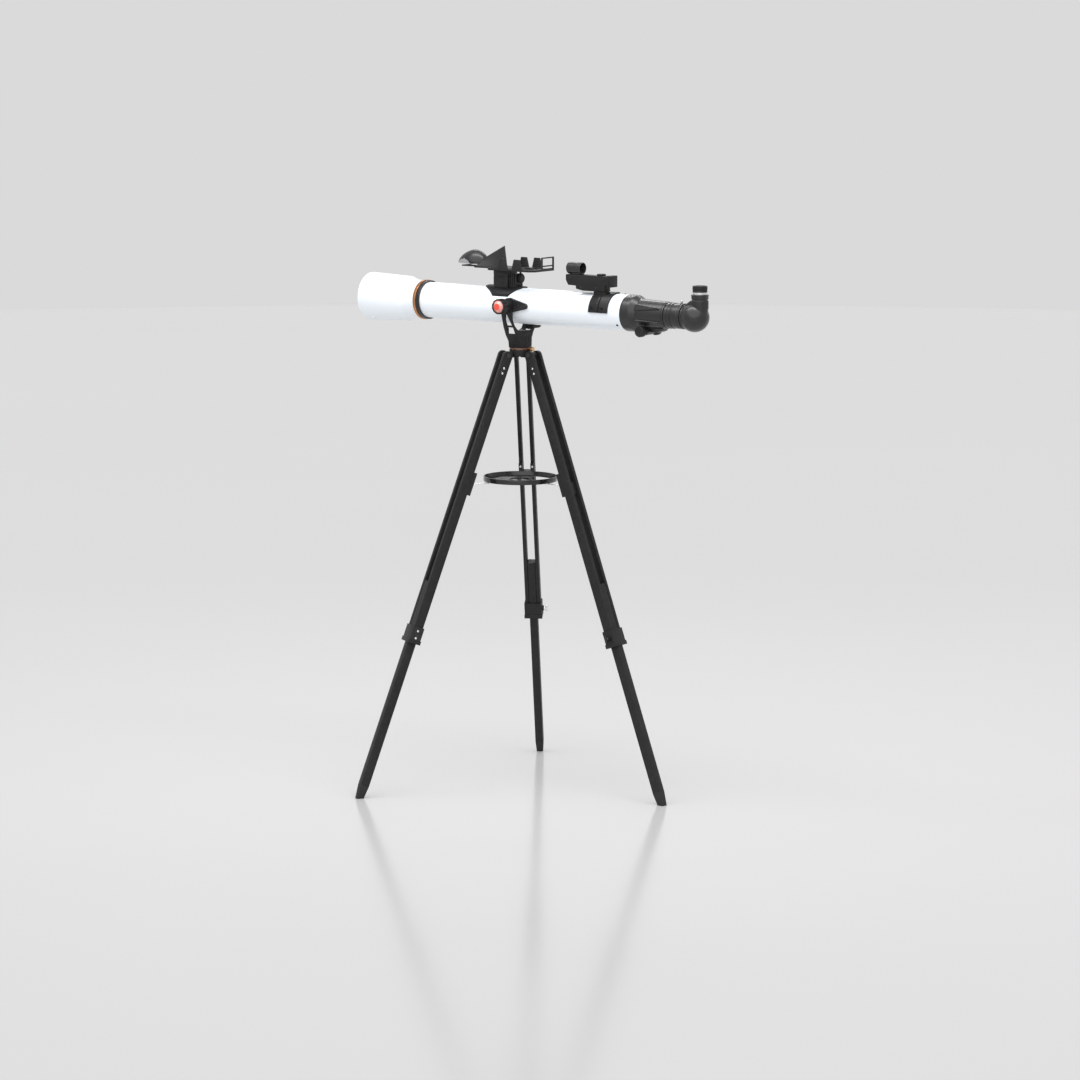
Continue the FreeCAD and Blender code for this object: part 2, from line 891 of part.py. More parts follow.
for side, sign in (("front", -1), ("rear", 1)):
    corners = [
        (sign * dim("yoke_base_half_depth"), -70.0),
        (sign * dim("yoke_top_half_depth"), 8.0),
        (sign * 40.0, 8.0),
        (sign * 40.0, -70.0),
    ]
    fork_cuts.append(padded("fork_taper_" + side, "XZ_Plane", corners, 160.0))
upper = [(-6.0, -45.5), (11.0, -45.5), (2.5, -18.0), (-5.0, -18.0)]
lower = [(-7.5, -66.0), (13.2, -66.0), (12.8, -50.0), (-7.5, -50.0)]
for level, corners in (("upper", upper), ("lower", lower)):
    fork_cuts.append(padded("fork_window_" + level, "XZ_Plane", corners, 34.0, y=-51.0))
fork_cuts.append(box("fork_pocket", 34.6, 38.0, 40.0, -21.0, -36.0, -70.0))
fork_cuts.append(box("far_window_low", 22.0, 30.0, 9.0, -8.5, 20.0, -67.5))
far_window = [(-7.0, -48.0), (7.0, -48.0), (3.0, -24.0), (-3.0, -24.0)]
fork_cuts.append(padded("far_window_high", "XZ_Plane", far_window, 34.0, y=52.0))
bosses = [
    cylinder(
        "yoke_boss_near",
        "Dims.yoke_boss_radius",
        "Dims.yoke_boss_reach - Dims.yoke_arm_inner",
        0.0,
        "-Dims.yoke_boss_reach",
        "Dims.altitude_rise",
        AXIS_Y,
    ),
    cylinder(
        "yoke_boss_far",
        "Dims.yoke_boss_radius",
        "Dims.yoke_boss_reach - Dims.yoke_arm_inner",
        0.0,
        "Dims.yoke_arm_inner",
        "Dims.altitude_rise",
        AXIS_Y,
    ),
    cylinder("tension_boss", 5.6, 22.0, 0.0, 34.0, "-Dims.tension_drop", AXIS_Y),
]
yoke_bores = [
    cylinder(
        "altitude_bore",
        "Dims.altitude_stub_radius + Dims.running_fit",
        142.0,
        0.0,
        -71.0,
        "Dims.altitude_rise",
        AXIS_Y,
    ),
    cylinder("tension_bore", 2.56, 40.0, 0.0, 28.0, "-Dims.tension_drop", AXIS_Y),
    cylinder(
        "azimuth_bore",
        "Dims.azimuth_bolt_radius + Dims.running_fit",
        27.0,
        0.0,
        0.0,
        "-Dims.yoke_bottom_drop - 1",
    ),
]
shaped_fork = cut("shaped_fork", fork, fuse("fork_cuts", fork_cuts))
node(
    "yoke_fork",
    cut("yoke", fuse("fork_with_bosses", [shaped_fork] + bosses), fuse("yoke_bores", yoke_bores)),
    UPRIGHT,
)

# Altitude lock knob: scalloped rim with a coloured cone, turning on the near stub.

ALTITUDE = Placement(Vector(0, 0, OPTICAL_Z + dim("altitude_rise")), Rotation())

knob_cuts = [
    cylinder(
        "knob_bore",
        "Dims.altitude_stub_radius + Dims.running_fit",
        9.6,
        0.0,
        "-Dims.knob_inner_face - 9",
        0.0,
        AXIS_Y,
    ),
    cylinder(
        "knob_recess",
        "Dims.knob_disc_radius",
        6.0,
        0.0,
        "-Dims.knob_outer_face - 3",
        0.0,
        AXIS_Y,
    ),
]
for index in range(12):
    bearing = math.radians(30.0 * index)
    knob_cuts.append(
        cylinder(
            "knob_scallop_%d" % index,
            2.4,
            30.0,
            20.0 * math.cos(bearing),
            -95.0,
            20.0 * math.sin(bearing),
            AXIS_Y,
        )
    )
knob_rim = cylinder(
    "knob_rim",
    "Dims.knob_rim_radius",
    "Dims.knob_outer_face - Dims.knob_inner_face",
    0.0,
    "-Dims.knob_outer_face",
    0.0,
    AXIS_Y,
)
node("altitude_lock_knob", cut("knob", knob_rim, fuse("knob_cuts", knob_cuts)), ALTITUDE)
node(
    "altitude_knob_disc",
    fuse(
        "knob_disc",
        [
            cone(
                "disc_cone", "Dims.knob_disc_radius", "Dims.knob_button_radius", 7.0,
                0.0, "3 - Dims.knob_outer_face", 0.0, Rotation(Vector(1, 0, 0), 90),
            ),
            cone(
                "disc_button", "Dims.knob_button_radius", "Dims.knob_button_radius - 0.8", 1.4,
                0.0, "-4 - Dims.knob_outer_face", 0.0, Rotation(Vector(1, 0, 0), 90),
            ),
        ],
    ),
    ALTITUDE,
)
node(
    "altitude_tension_screw",
    fuse(
        "tension_screw",
        [
            cylinder("tension_shaft", 2.5, 23.0, 0.0, 36.0, "-Dims.tension_drop", AXIS_Y),
            cone("tension_neck", 3.0, 4.4, 4.0, 0.0, 56.6, "-Dims.tension_drop", AXIS_Y),
            cylinder("tension_grip", 4.4, 17.0, 0.0, 60.6, "-Dims.tension_drop", AXIS_Y),
            cone("tension_tip", 4.4, 2.6, 6.0, 0.0, 77.6, "-Dims.tension_drop", AXIS_Y),
        ],
    ),
    UPRIGHT,
)

# Optical tube. Every turned piece is drawn about the optical axis.

node(
    "main_tube",
    revolved(
        "tube",
        [
            ("Dims.tube_front", "Dims.tube_radius - Dims.tube_wall"),
            ("Dims.tube_rear", "Dims.tube_radius - Dims.tube_wall"),
            ("Dims.tube_rear", "Dims.tube_radius"),
            ("Dims.tube_front", "Dims.tube_radius"),
        ],
    ),
    UPRIGHT,
)
node(
    "dew_shield",
    revolved(
        "shield",
        [
            ("Dims.shield_front", "Dims.shield_front_radius"),
            ("Dims.shield_front", "Dims.shield_front_radius - Dims.shield_wall"),
            ("Dims.shield_mid", "Dims.shield_mid_radius - Dims.shield_wall - 0.4", -70.0),
            ("Dims.shield_rear", "Dims.shield_rear_radius - Dims.shield_wall - 0.6"),
            ("Dims.shield_rear", "Dims.shield_rear_radius", 70.0),
            ("Dims.shield_mid", "Dims.shield_mid_radius"),
        ],
    ),
    UPRIGHT,
)
node(
    "dew_accent_ring",
    revolved(
        "shield_accent",
        [
            ("Dims.shield_rear", "Dims.shield_accent_bore"),
            ("Dims.shield_accent_rear", "Dims.shield_accent_bore"),
            ("Dims.shield_accent_rear", "Dims.shield_rear_radius + 0.2"),
            ("Dims.shield_rear", "Dims.shield_rear_radius + 0.2"),
        ],
    ),
    UPRIGHT,
)
node(
    "objective_cell",
    revolved(
        "cell",
        [
            (-330.0, 39.0),
            (-327.0, 39.0),
            (-327.0, "Dims.lens_radius + 0.1"),
            (-312.0, "Dims.lens_radius + 0.1"),
            (-312.0, 39.0),
            ("Dims.tube_front", 39.0),
            ("Dims.tube_front", "Dims.tube_radius"),
            ("Dims.cell_rear", "Dims.tube_radius"),
            ("Dims.cell_rear", "Dims.cell_radius"),
            ("Dims.shield_accent_rear", "Dims.cell_radius"),
            ("Dims.shield_accent_rear", "Dims.shield_accent_bore - 0.1"),
            (-330.0, "Dims.shield_accent_bore - 0.1"),
        ],
    ),
    UPRIGHT,
)
lens_ball = doc.addObject("Part::Sphere", "lens_ball")
bind(lens_ball, "Radius", 237.0)
place(lens_ball, -89.2)
lens_disc = cylinder("lens_disc", "Dims.lens_radius", 14.6, -327.0, 0.0, 0.0, AXIS_X)
node("objective_lens", common("lens", lens_disc, lens_ball), UPRIGHT)

brackets = []
for side, sign, reach in (("near", -1, 79.0), ("far", 1, 65.0)):
    outward = AXIS_Y if sign > 0 else Rotation(Vector(1, 0, 0), 90)
    plate = cylinder(
        "bracket_plate_" + side, "Dims.bracket_radius", 13.6, 0.0, sign * 36.0,
        "Dims.altitude_rise", outward
    )
    nose = cylinder(
        "bracket_nose_" + side,
        7.0,
        13.6,
        "Dims.bracket_tip - 7",
        sign * 36.0,
        "Dims.altitude_rise",
        outward,
    )
    taper = [(1.5, 21.9), (49.7, 10.4), (49.7, -3.4), (1.5, -14.9)]
    web = padded(
        "bracket_web_" + side, "XZ_Plane", taper, 13.6, y=sign * 42.8
    )
    saddle = cylinder("bracket_saddle_" + side, "Dims.tube_radius", 160.0, -80.0, 0.0, 0.0, AXIS_X)
    stub = cylinder(
        "bracket_stub_" + side,
        "Dims.altitude_stub_radius",
        reach - 46.0,
        0.0,
        sign * 46.0,
        "Dims.altitude_rise",
        outward,
    )
    brackets.append(
        cut("bracket_" + side, fuse("bracket_solid_" + side, [plate, nose, web, stub]), saddle)
    )
node("altitude_brackets", group("brackets", brackets), UPRIGHT)

# Focuser: cast body with a pinion housing, and the drawtube that runs in it.

focuser_turning = revolved(
    "focuser_turning",
    [
        (312.0, "Dims.tube_radius - Dims.tube_wall - 0.1"),
        (312.0, 40.5),
        (347.0, 40.5),
        (347.0, "Dims.focuser_bore"),
        ("Dims.focuser_finish", "Dims.focuser_bore"),
        ("Dims.focuser_finish", "Dims.focuser_finish_radius"),
        ("Dims.focuser_neck", "Dims.focuser_neck_radius"),
        ("Dims.focuser_flange_finish", "Dims.tube_radius"),
        ("Dims.tube_rear", "Dims.tube_radius"),
        ("Dims.tube_rear", "Dims.tube_radius - Dims.tube_wall - 0.1"),
    ],
)
block_profile = [
    (371.0, -28.0),
    (371.0, -42.0),
    (420.0, -42.0),
    (430.0, -38.0),
    (432.0, -33.0),
    (432.0, -28.0),
]
pinion_block = padded("pinion_block", "XZ_Plane", block_profile, 28.0)
pinion_housing = cylinder(
    "pinion_housing", 10.6, 28.0, "Dims.pinion_x", -14.0, "-Dims.pinion_drop", AXIS_Y
)
ribs = []
for index, bearing in enumerate((35.0, 145.0, 215.0, 325.0)):
    rib = box("focuser_rib_%d" % index, 66.0, 3.4, 6.0, 374.0, -1.7, 29.6)
    rib_turn = group("focuser_rib_turn_%d" % index, [rib])
    rib_turn.Placement = Placement(Vector(), Rotation(Vector(1, 0, 0), bearing))
    ribs.append(rib_turn)
focuser_cuts = [
    cylinder("focuser_bore_cut", "Dims.focuser_bore", 110.0, 340.0, 0.0, 0.0, AXIS_X),
    box("rack_slot", 110.0, 8.8, 8.0, 340.0, -4.4, -31.6),
    cylinder("pinion_room", 8.8, 14.0, "Dims.pinion_x", -7.0, "-Dims.pinion_drop", AXIS_Y),
    cylinder("pinion_bore", 3.06, 60.0, "Dims.pinion_x", -30.0, "-Dims.pinion_drop", AXIS_Y),
    cylinder("knob_room_near", 14.4, 30.0, "Dims.pinion_x", -53.5, "-Dims.pinion_drop", AXIS_Y),
    cylinder("knob_room_far", 14.4, 30.0, "Dims.pinion_x", 23.5, "-Dims.pinion_drop", AXIS_Y),
]
node(
    "focuser_body",
    cut(
        "focuser",
        fuse("focuser_solid", [focuser_turning, pinion_block, pinion_housing] + ribs),
        fuse("focuser_cuts", focuser_cuts),
    ),
    UPRIGHT,
)
screw_heads = []
for index, bearing in enumerate((0.0, 130.0, 230.0)):
    head = cone(
        "focuser_screw_%d" % index, 3.0, 2.0, 1.6, 316.0, 0.0, "Dims.tube_radius"
    )
    head_turn = group("focuser_screw_turn_%d" % index, [head])
    head_turn.Placement = Placement(Vector(), Rotation(Vector(1, 0, 0), bearing))
    screw_heads.append(head_turn)
node("focuser_screws", group("focuser_screw_set", screw_heads), UPRIGHT)

draw_turning = revolved(
    "draw_turning",
    [
        ("Dims.draw_front", "Dims.draw_inner"),
        (462.0, "Dims.draw_inner"),
        (462.0, 15.94),
        ("Dims.collar_finish", 15.94),
        ("Dims.collar_finish", "Dims.collar_radius"),
        (484.8, "Dims.collar_radius"),
        (484.2, "Dims.collar_radius - 0.9"),
        (465.0, "Dims.collar_radius - 0.7"),
        (464.4, "Dims.collar_radius + 0.6"),
        (458.6, "Dims.collar_radius + 0.6"),
        (458.0, "Dims.collar_radius - 0.4"),
        (452.0, "Dims.collar_radius - 0.4"),
        (451.4, "Dims.collar_radius + 0.8"),
        ("Dims.collar_start", "Dims.collar_radius + 0.8"),
        ("Dims.collar_start", "Dims.draw_radius"),
        ("Dims.draw_front", "Dims.draw_radius"),
    ],
)
rack = box("focus_rack", 138.0, 8.0, 5.0, 302.0, -4.0, -31.0)
draw_screw_hole = cylinder("draw_screw_hole", 1.76, 30.0, 480.0, 0.0, 10.0)
draw_bore = cylinder("draw_bore", "Dims.draw_inner", 155.0, 290.0, 0.0, 0.0, AXIS_X)
node(
    "drawtube",
    cut(
        "draw",
        fuse("draw_solid", [draw_turning, rack]),
        fuse("draw_cuts", [draw_screw_hole, draw_bore]),
    ),
    UPRIGHT,
)
node(
    "drawtube_screw",
    fuse(
        "draw_screw",
        [
            cylinder("draw_screw_shaft", 1.7, 16.0, 480.0, 0.0, 16.2),
            cylinder("draw_screw_grip", 2.6, 6.6, 480.0, 0.0, 31.4),
        ],
    ),
    UPRIGHT,
)
node(
    "pinion_shaft",
    fuse(
        "pinion",
        [
            cylinder("pinion_axle", 3.0, 76.0, "Dims.pinion_x", -38.0, "-Dims.pinion_drop", AXIS_Y),
            cylinder(
                "pinion_drum", "Dims.pinion_radius", 8.0, "Dims.pinion_x", -4.0,
                "-Dims.pinion_drop", AXIS_Y,
            ),
        ],
    ),
    UPRIGHT,
)
focus_knobs = []
for side, sign in (("near", -1), ("far", 1)):
    outward = AXIS_Y if sign > 0 else Rotation(Vector(1, 0, 0), 90)
    grip = cylinder(
        "focus_grip_" + side,
        "Dims.focus_knob_radius",
        "Dims.focus_knob_outer - Dims.focus_knob_inner",
        "Dims.pinion_x",
        sign * dim("focus_knob_inner"),
        "-Dims.pinion_drop",
        outward,
    )
    axle_bore = cylinder(
        "focus_axle_bore_" + side, 3.0, 13.5, "Dims.pinion_x",
        sign * dim("focus_knob_inner"), "-Dims.pinion_drop", outward,
    )
    focus_knobs.append(cut("focus_knob_" + side, grip, axle_bore))
node("focus_knobs", group("focus_knob_pair", focus_knobs), UPRIGHT)

# Diagonal: a round elbow housing with a horizontal barrel and an upright holder.

elbow = doc.addObject("Part::Sphere", "elbow")
bind(elbow, "Radius", "Dims.diagonal_radius")
place(elbow, "Dims.diagonal_x", 0.0, -1.0)
elbow_hollow = doc.addObject("Part::Sphere", "elbow_hollow")
bind(elbow_hollow, "Radius", "Dims.diagonal_radius - 3")
place(elbow_hollow, "Dims.diagonal_x", 0.0, -1.0)
hollow_limit = box("hollow_limit", 70.0, 90.0, 90.0, 495.5, -45.0, -45.0)
holder = cylinder("holder", "Dims.holder_radius", "Dims.holder_top", "Dims.holder_x", 0.0, 0.0)
holder_lip = cylinder(
    "holder_lip", "Dims.holder_radius + 1", 3.0, "Dims.holder_x", 0.0, "Dims.holder_top - 3"
)
neck = cylinder("diagonal_neck", 29.6, 16.0, "Dims.collar_finish + 0.6", 0.0, 0.0, AXIS_X)
barrel = cylinder("diagonal_barrel", 15.88, 36.0, 464.0, 0.0, 0.0, AXIS_X)
elbow_trim = box("elbow_trim", 40.0, 90.0, 90.0, 451.6, -45.0, -45.0)
elbow_solid = cut("elbow_solid", fuse("elbow_parts", [elbow, holder, holder_lip, neck]), elbow_trim)
diagonal_cuts = [
    common("elbow_room", elbow_hollow, hollow_limit),
    cylinder("barrel_bore", 13.4, 60.0, 460.0, 0.0, 0.0, AXIS_X),
    cylinder("holder_bore", 15.93, 60.0, "Dims.holder_x", 0.0, 10.0),
]
node(
    "diagonal_housing",
    cut(
        "diagonal",
        fuse("diagonal_solid", [elbow_solid, barrel]),
        fuse("diagonal_cuts", diagonal_cuts),
    ),
    UPRIGHT,
)

eyepiece_cuts = [
    cylinder("eyepiece_bore", 12.4, 32.0, "Dims.holder_x", 0.0, "Dims.eyepiece_bottom - 1"),
    cone("eyecup_bowl", 7.0, 13.0, 7.0, "Dims.holder_x", 0.0, "Dims.eyecup_top - 6.9"),
]
node(
    "eyepiece_body",
    cut(
        "eyepiece",
        fuse(
            "eyepiece_solid",
            [
                cylinder(
                    "eyepiece_barrel",
                    "Dims.eyepiece_barrel",
                    "Dims.band_top + 1 - Dims.eyepiece_bottom",
                    "Dims.holder_x",
                    0.0,
                    "Dims.eyepiece_bottom",
                ),
                cylinder(
                    "eyecup",
                    "Dims.eyecup_radius",
                    "Dims.eyecup_top - Dims.band_top",
                    "Dims.holder_x",
                    0.0,
                    "Dims.band_top",
                ),
            ],
        ),
        fuse("eyepiece_cuts", eyepiece_cuts),
    ),
    UPRIGHT,
)
node(
    "eyepiece_band",
    cut(
        "band",
        cylinder(
            "band_outer", "Dims.band_radius", "Dims.band_top - Dims.band_bottom",
            "Dims.holder_x", 0.0, "Dims.band_bottom",
        ),
        cylinder("band_inner", "Dims.eyepiece_barrel", 20.0, "Dims.holder_x", 0.0, 50.0),
    ),
    UPRIGHT,
)

# Red-dot finder on a saddle that wraps the near upper quarter of the tube.

FINDER_Y = -14.0
wrap = cut(
    "finder_wrap",
    cylinder(
        "finder_wrap_outer", "Dims.tube_radius + Dims.saddle_thickness",
        "Dims.finder_saddle_rear - Dims.finder_saddle_front", "Dims.finder_saddle_front",
        0.0, 0.0, AXIS_X,
    ),
    cylinder("finder_wrap_inner", "Dims.tube_radius", 90.0, 220.0, 0.0, 0.0, AXIS_X),
)
wrap_quarter = common(
    "finder_quarter", wrap, box("finder_quarter_box", 90.0, 58.0, 60.0, 220.0, -50.0, 0.0)
)
finder_neck = box("finder_neck", 34.0, 17.0, 10.9, 238.0, FINDER_Y - 9.0, 37.2)
finder_rib = box("finder_rib", 8.0, 24.0, 34.0, 260.0, -50.5, 4.0)
rib_trim = cylinder("finder_rib_trim", 51.0, 90.0, 220.0, 0.0, 0.0, AXIS_X)
rib_shape = common("finder_rib_shape", finder_rib, rib_trim)
saddle_screws = []
for index, x in enumerate((247.0, 278.0)):
    saddle_screws.append(
        cylinder("saddle_screw_%d" % index, 3.4, 6.0, x, -44.0, 12.0, Rotation(Vector(1, 0, 0), 90))
    )
node(
    "finder_saddle",
    cut(
        "finder_base",
        fuse("finder_base_solid", [wrap_quarter, finder_neck, rib_shape] + saddle_screws),
        cylinder("finder_tube_room", "Dims.tube_radius", 90.0, 220.0, 0.0, 0.0, AXIS_X),
    ),
    UPRIGHT,
)
finder_outline = [
    (156.0, 73.0),
    (164.0, 60.5),
    (187.0, 60.0),
    (187.0, 52.0),
    (208.0, 48.4),
    (273.0, 48.2),
    (273.0, 64.0),
    (280.0, 64.0),
    (280.0, 60.0),
    (294.0, 60.0),
    (294.0, 88.5),
    (280.0, 88.5),
    (280.0, 86.8),
    (156.0, 86.8),
]
node(
    "finder_body",
    padded("finder", "XZ_Plane", finder_outline, 26.0),
    Placement(Vector(0, FINDER_Y, OPTICAL_Z), Rotation()),
)
sight_outer = cylinder(
    "sight_outer", "Dims.sight_tube_radius", 41.0, 159.0, 0.0, "Dims.sight_tube_height",
    AXIS_X,
)
sight_foot = box("sight_foot", 8.0, 18.0, 8.0, 190.0, -9.0, 86.8)
sight_bore = cylinder(
    "sight_bore", "Dims.sight_tube_bore", 60.0, 150.0, 0.0, "Dims.sight_tube_height",
    AXIS_X,
)
node(
    "finder_sight_tube",
    cut("sight", fuse("sight_solid", [sight_outer, sight_foot]), sight_bore),
    Placement(Vector(0, FINDER_Y, OPTICAL_Z), Rotation()),
)
node(
    "finder_dial",
    cylinder("dial", 11.0, 4.2, 254.7, FINDER_Y, 87.1),
    Placement(Vector(254.7, FINDER_Y, OPTICAL_Z + 87.1), Rotation()),
)

# Phone dock: saddle, post, platform, sliding jaw, hood with mirror and knob.

dock_plan = [
    ("Dims.dock_saddle_front", -14.0),
    (-58.0, "-Dims.dock_saddle_half_width"),
    (-10.0, "-Dims.dock_saddle_half_width"),
    ("Dims.dock_saddle_rear", -14.0),
    ("Dims.dock_saddle_rear", 14.0),
    (-10.0, "Dims.dock_saddle_half_width"),
    (-58.0, "Dims.dock_saddle_half_width"),
    ("Dims.dock_saddle_front", 14.0),
]
dock_shell = cut(
    "dock_shell",
    cylinder(
        "dock_shell_outer", "Dims.tube_radius + Dims.saddle_thickness", 130.0, -106.0, 0.0, 0.0,
        AXIS_X,
    ),
    cylinder("dock_shell_inner", "Dims.tube_radius", 140.0, -110.0, 0.0, 0.0, AXIS_X),
)
dock_limit = padded("dock_limit", "XY_Plane", dock_plan, 80.0, z=61.0)
node("dock_saddle", common("dock_base", dock_shell, dock_limit), UPRIGHT)

post_core = box(
    "post_core", "Dims.post_rear - Dims.post_front", "2 * Dims.post_half_width", 48.0,
    "Dims.post_front", "-Dims.post_half_width", "Dims.post_top - 48",
)
post_wing = box("post_wing", 23.0, 26.0, 38.0, -25.0, -13.0, 40.0)
post_cuts = [
    cylinder(
        "post_room", "Dims.tube_radius + Dims.saddle_thickness", 140.0, -110.0, 0.0, 0.0, AXIS_X
    ),
]
for index, x in enumerate((-21.0, -15.0, -9.0)):
    for side, y in (("near", -14.0), ("far", 11.0)):
        post_cuts.append(box("post_slot_%s_%d" % (side, index), 3.0, 3.0, 30.0, x, y, 49.0))
seam_outer = box("seam_outer", 50.0, 50.0, 1.2, -70.0, -25.0, 71.0)
seam_inner = box("seam_inner", 41.0, 37.0, 1.2, -66.0, -18.5, 71.0)
post_cuts.append(cut("post_seam", seam_outer, seam_inner))
post_bore = cylinder("post_knob_bore", 3.06, 30.0, -25.0, 0.0, 67.0, AXIS_X)
node(
    "dock_post",
    cut("post", fuse("post_solid", [post_core, post_wing]), fuse("post_cuts", post_cuts + [post_bore])),
    UPRIGHT,
)

platform_plan = [
    (-72.0, -37.0),
    (-64.0, -45.0),
    (58.0, -45.0),
    (72.0, -33.0),
    (72.0, 42.0),
    (60.0, 42.0),
    (60.0, 30.0),
    (-44.0, 30.0),
    (-44.0, 42.0),
    (-72.0, 42.0),
]
FINGER = [(-15.0, 92.0), (15.0, 92.0), (8.5, 116.0), (-8.5, 116.0)]
platform_solids = [
    padded("platform_plate", "XY_Plane", platform_plan, 5.2, z=89.4),
    box("platform_bridge", 66.0, 46.0, 4.0, -124.0, -23.0, 89.0),
    box("mirror_carrier", 54.0, 16.0, 3.0, -174.0, -8.0, 90.0),
    cylinder("mirror_boss", 6.0, 4.0, -158.0, 0.0, 92.0),
    cylinder("platform_pin", 2.6, 9.0, 1.0, 0.0, 78.8),
    box("platform_pin_bridge", 18.0, 40.0, 4.0, -8.0, -36.0, 87.0),
]
for index, x in enumerate((-20.5, 22.0)):
    corners = [(x + dx, z) for dx, z in FINGER]
    platform_solids.append(padded("near_finger_%d" % index, "XZ_Plane", corners, 3.0, y=-43.5))
frame_panel = box("frame_panel", 3.0, 50.0, 29.0, 69.0, -8.0, 92.0)
frame_windows = [
    box("frame_window_low", 9.0, 42.0, 4.4, 66.0, -4.0, 93.6),
    box("frame_window_high", 9.0, 42.0, 17.0, 66.0, -4.0, 101.0),
]
platform_solids.append(cut("frame", frame_panel, fuse("frame_windows", frame_windows)))
platform_cuts = [
    box("platform_opening", 44.0, 48.0, 20.0, 12.0, -32.0, 80.0),
    box("platform_opening_small", 10.0, 48.0, 20.0, -20.0, -32.0, 80.0),
    cylinder("rod_hole_left", 2.06, 40.0, -30.0, 4.0, 89.4, AXIS_Y),
    cylinder("rod_hole_right", 2.06, 40.0, 30.0, 4.0, 89.4, AXIS_Y),
]
node(
    "dock_platform",
    cut("platform", fuse("platform_solid", platform_solids), fuse("platform_cuts", platform_cuts)),
    UPRIGHT,
)

jaw_solids = [
    box("jaw_bar", 72.0, 13.0, 4.6, -36.0, 32.0, 87.1),
    cylinder("jaw_rod_left", 2.0, 28.0, -30.0, 6.0, 89.4, AXIS_Y),
    cylinder("jaw_rod_right", 2.0, 28.0, 30.0, 6.0, 89.4, AXIS_Y),
]
for index, x in enumerate((-20.5, 19.5)):
    corners = [(x + dx, z - 0.5) for dx, z in FINGER]
    jaw_solids.append(padded("far_finger_%d" % index, "XZ_Plane", corners, 3.0, y=43.5))
node("dock_jaw", fuse("jaw", jaw_solids), UPRIGHT)

knob_turns = [
    cylinder("dock_knob_axle", 3.0, 20.0, -19.0, 0.0, 67.0, AXIS_X),
    cylinder("dock_knob_grip", 11.0, 8.6, -0.6, 0.0, 67.0, AXIS_X),
]
node("dock_adjust_knob", fuse("dock_knob", knob_turns), UPRIGHT)


def ellipsoid(name, tall, long, wide, x, z):
    obj = doc.addObject("Part::Ellipsoid", name)
    obj.Radius1 = tall
    obj.Radius2 = long
    obj.Radius3 = wide
    obj.Angle1 = -90.0
    obj.Angle2 = 90.0
    obj.Angle3 = 360.0
    return place(obj, x, 0.0, z)


hood_outer = ellipsoid("hood_outer", 34.5, 42.0, 28.0, -143.5, 97.5)
hood_inner = ellipsoid("hood_inner", 32.0, 39.5, 25.6, -143.5, 97.5)
hood_open = box("hood_open", 120.0, 90.0, 60.0, -205.0, -45.0, 38.0)
hood_shell = cut("hood_shell", hood_outer, fuse("hood_cuts", [hood_inner, hood_open]))


def quad(*corners):
    return Part.makePolygon([Vector(*c) for c in corners] + [Vector(*corners[0])])


shroud = doc.addObject("Part::Feature", "shroud")
shroud_foot = quad((-120, -23, 93), (-120, 23, 93), (-42, 3.5, 93), (-42, -3.5, 93))
shroud_ridge = quad((-105, -9, 112), (-105, 9, 112), (-47.5, 1.0, 144.6), (-47.5, -1.0, 144.6))
shroud.Shape = Part.makeLoft([shroud_foot, shroud_ridge], True, True)
node("dock_hood", fuse("hood", [hood_shell, shroud]), UPRIGHT)
node(
    "dock_mirror",
    cylinder("mirror", 20.0, 2.0, -158.0, 0.0, 96.0),
    Placement(Vector(-158.0, 0.0, OPTICAL_Z + 96.0), Rotation()),
)

# Check every object and every finished piece, then write the pieces out.

doc.recompute()
for label, obj, placement in NODES:
    obj.Placement = placement
doc.recompute()

for obj in doc.Objects:
    if "Invalid" in obj.State or "Error" in obj.State:
        raise RuntimeError("%s failed: %s" % (obj.Name, obj.State))

os.makedirs("parts", exist_ok=True)
for label, obj, placement in NODES:
    shape = obj.Shape
    if shape.isNull() or not shape.isValid() or not shape.Solids:
        raise RuntimeError("%s has no valid solid" % label)
    shape.exportStep("parts/%s.step" % label)
    bounds = shape.BoundBox
    print(
        "%-26s %2d solids %9.1f mm3  x %7.1f %7.1f  y %7.1f %7.1f  z %7.1f %7.1f"
        % (
            label,
            len(shape.Solids),
            shape.Volume,
            bounds.XMin,
            bounds.XMax,
            bounds.YMin,
            bounds.YMax,
            bounds.ZMin,
            bounds.ZMax,
        )
    )
print(len(NODES), "pieces")
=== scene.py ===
"""Looks for the telescope on its tripod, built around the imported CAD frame."""

import json
import math

import bmesh
import bpy
from mathutils import Matrix, Vector


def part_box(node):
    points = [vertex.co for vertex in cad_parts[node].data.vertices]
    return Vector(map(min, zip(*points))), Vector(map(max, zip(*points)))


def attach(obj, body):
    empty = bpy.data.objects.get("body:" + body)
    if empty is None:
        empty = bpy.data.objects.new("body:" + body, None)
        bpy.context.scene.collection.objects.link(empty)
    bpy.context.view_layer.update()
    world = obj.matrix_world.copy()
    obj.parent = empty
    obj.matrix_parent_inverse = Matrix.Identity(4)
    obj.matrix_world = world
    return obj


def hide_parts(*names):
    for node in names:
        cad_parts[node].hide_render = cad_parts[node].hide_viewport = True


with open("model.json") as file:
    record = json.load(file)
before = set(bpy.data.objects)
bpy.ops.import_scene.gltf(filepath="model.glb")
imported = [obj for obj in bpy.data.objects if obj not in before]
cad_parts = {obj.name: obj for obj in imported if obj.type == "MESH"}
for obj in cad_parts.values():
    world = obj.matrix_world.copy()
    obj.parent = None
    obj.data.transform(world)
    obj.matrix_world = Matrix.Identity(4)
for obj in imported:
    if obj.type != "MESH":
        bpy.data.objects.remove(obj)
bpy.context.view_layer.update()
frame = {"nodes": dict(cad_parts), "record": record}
scene = bpy.context.scene
nodes = frame["nodes"]

MM = 0.001
TAU = 2 * math.pi

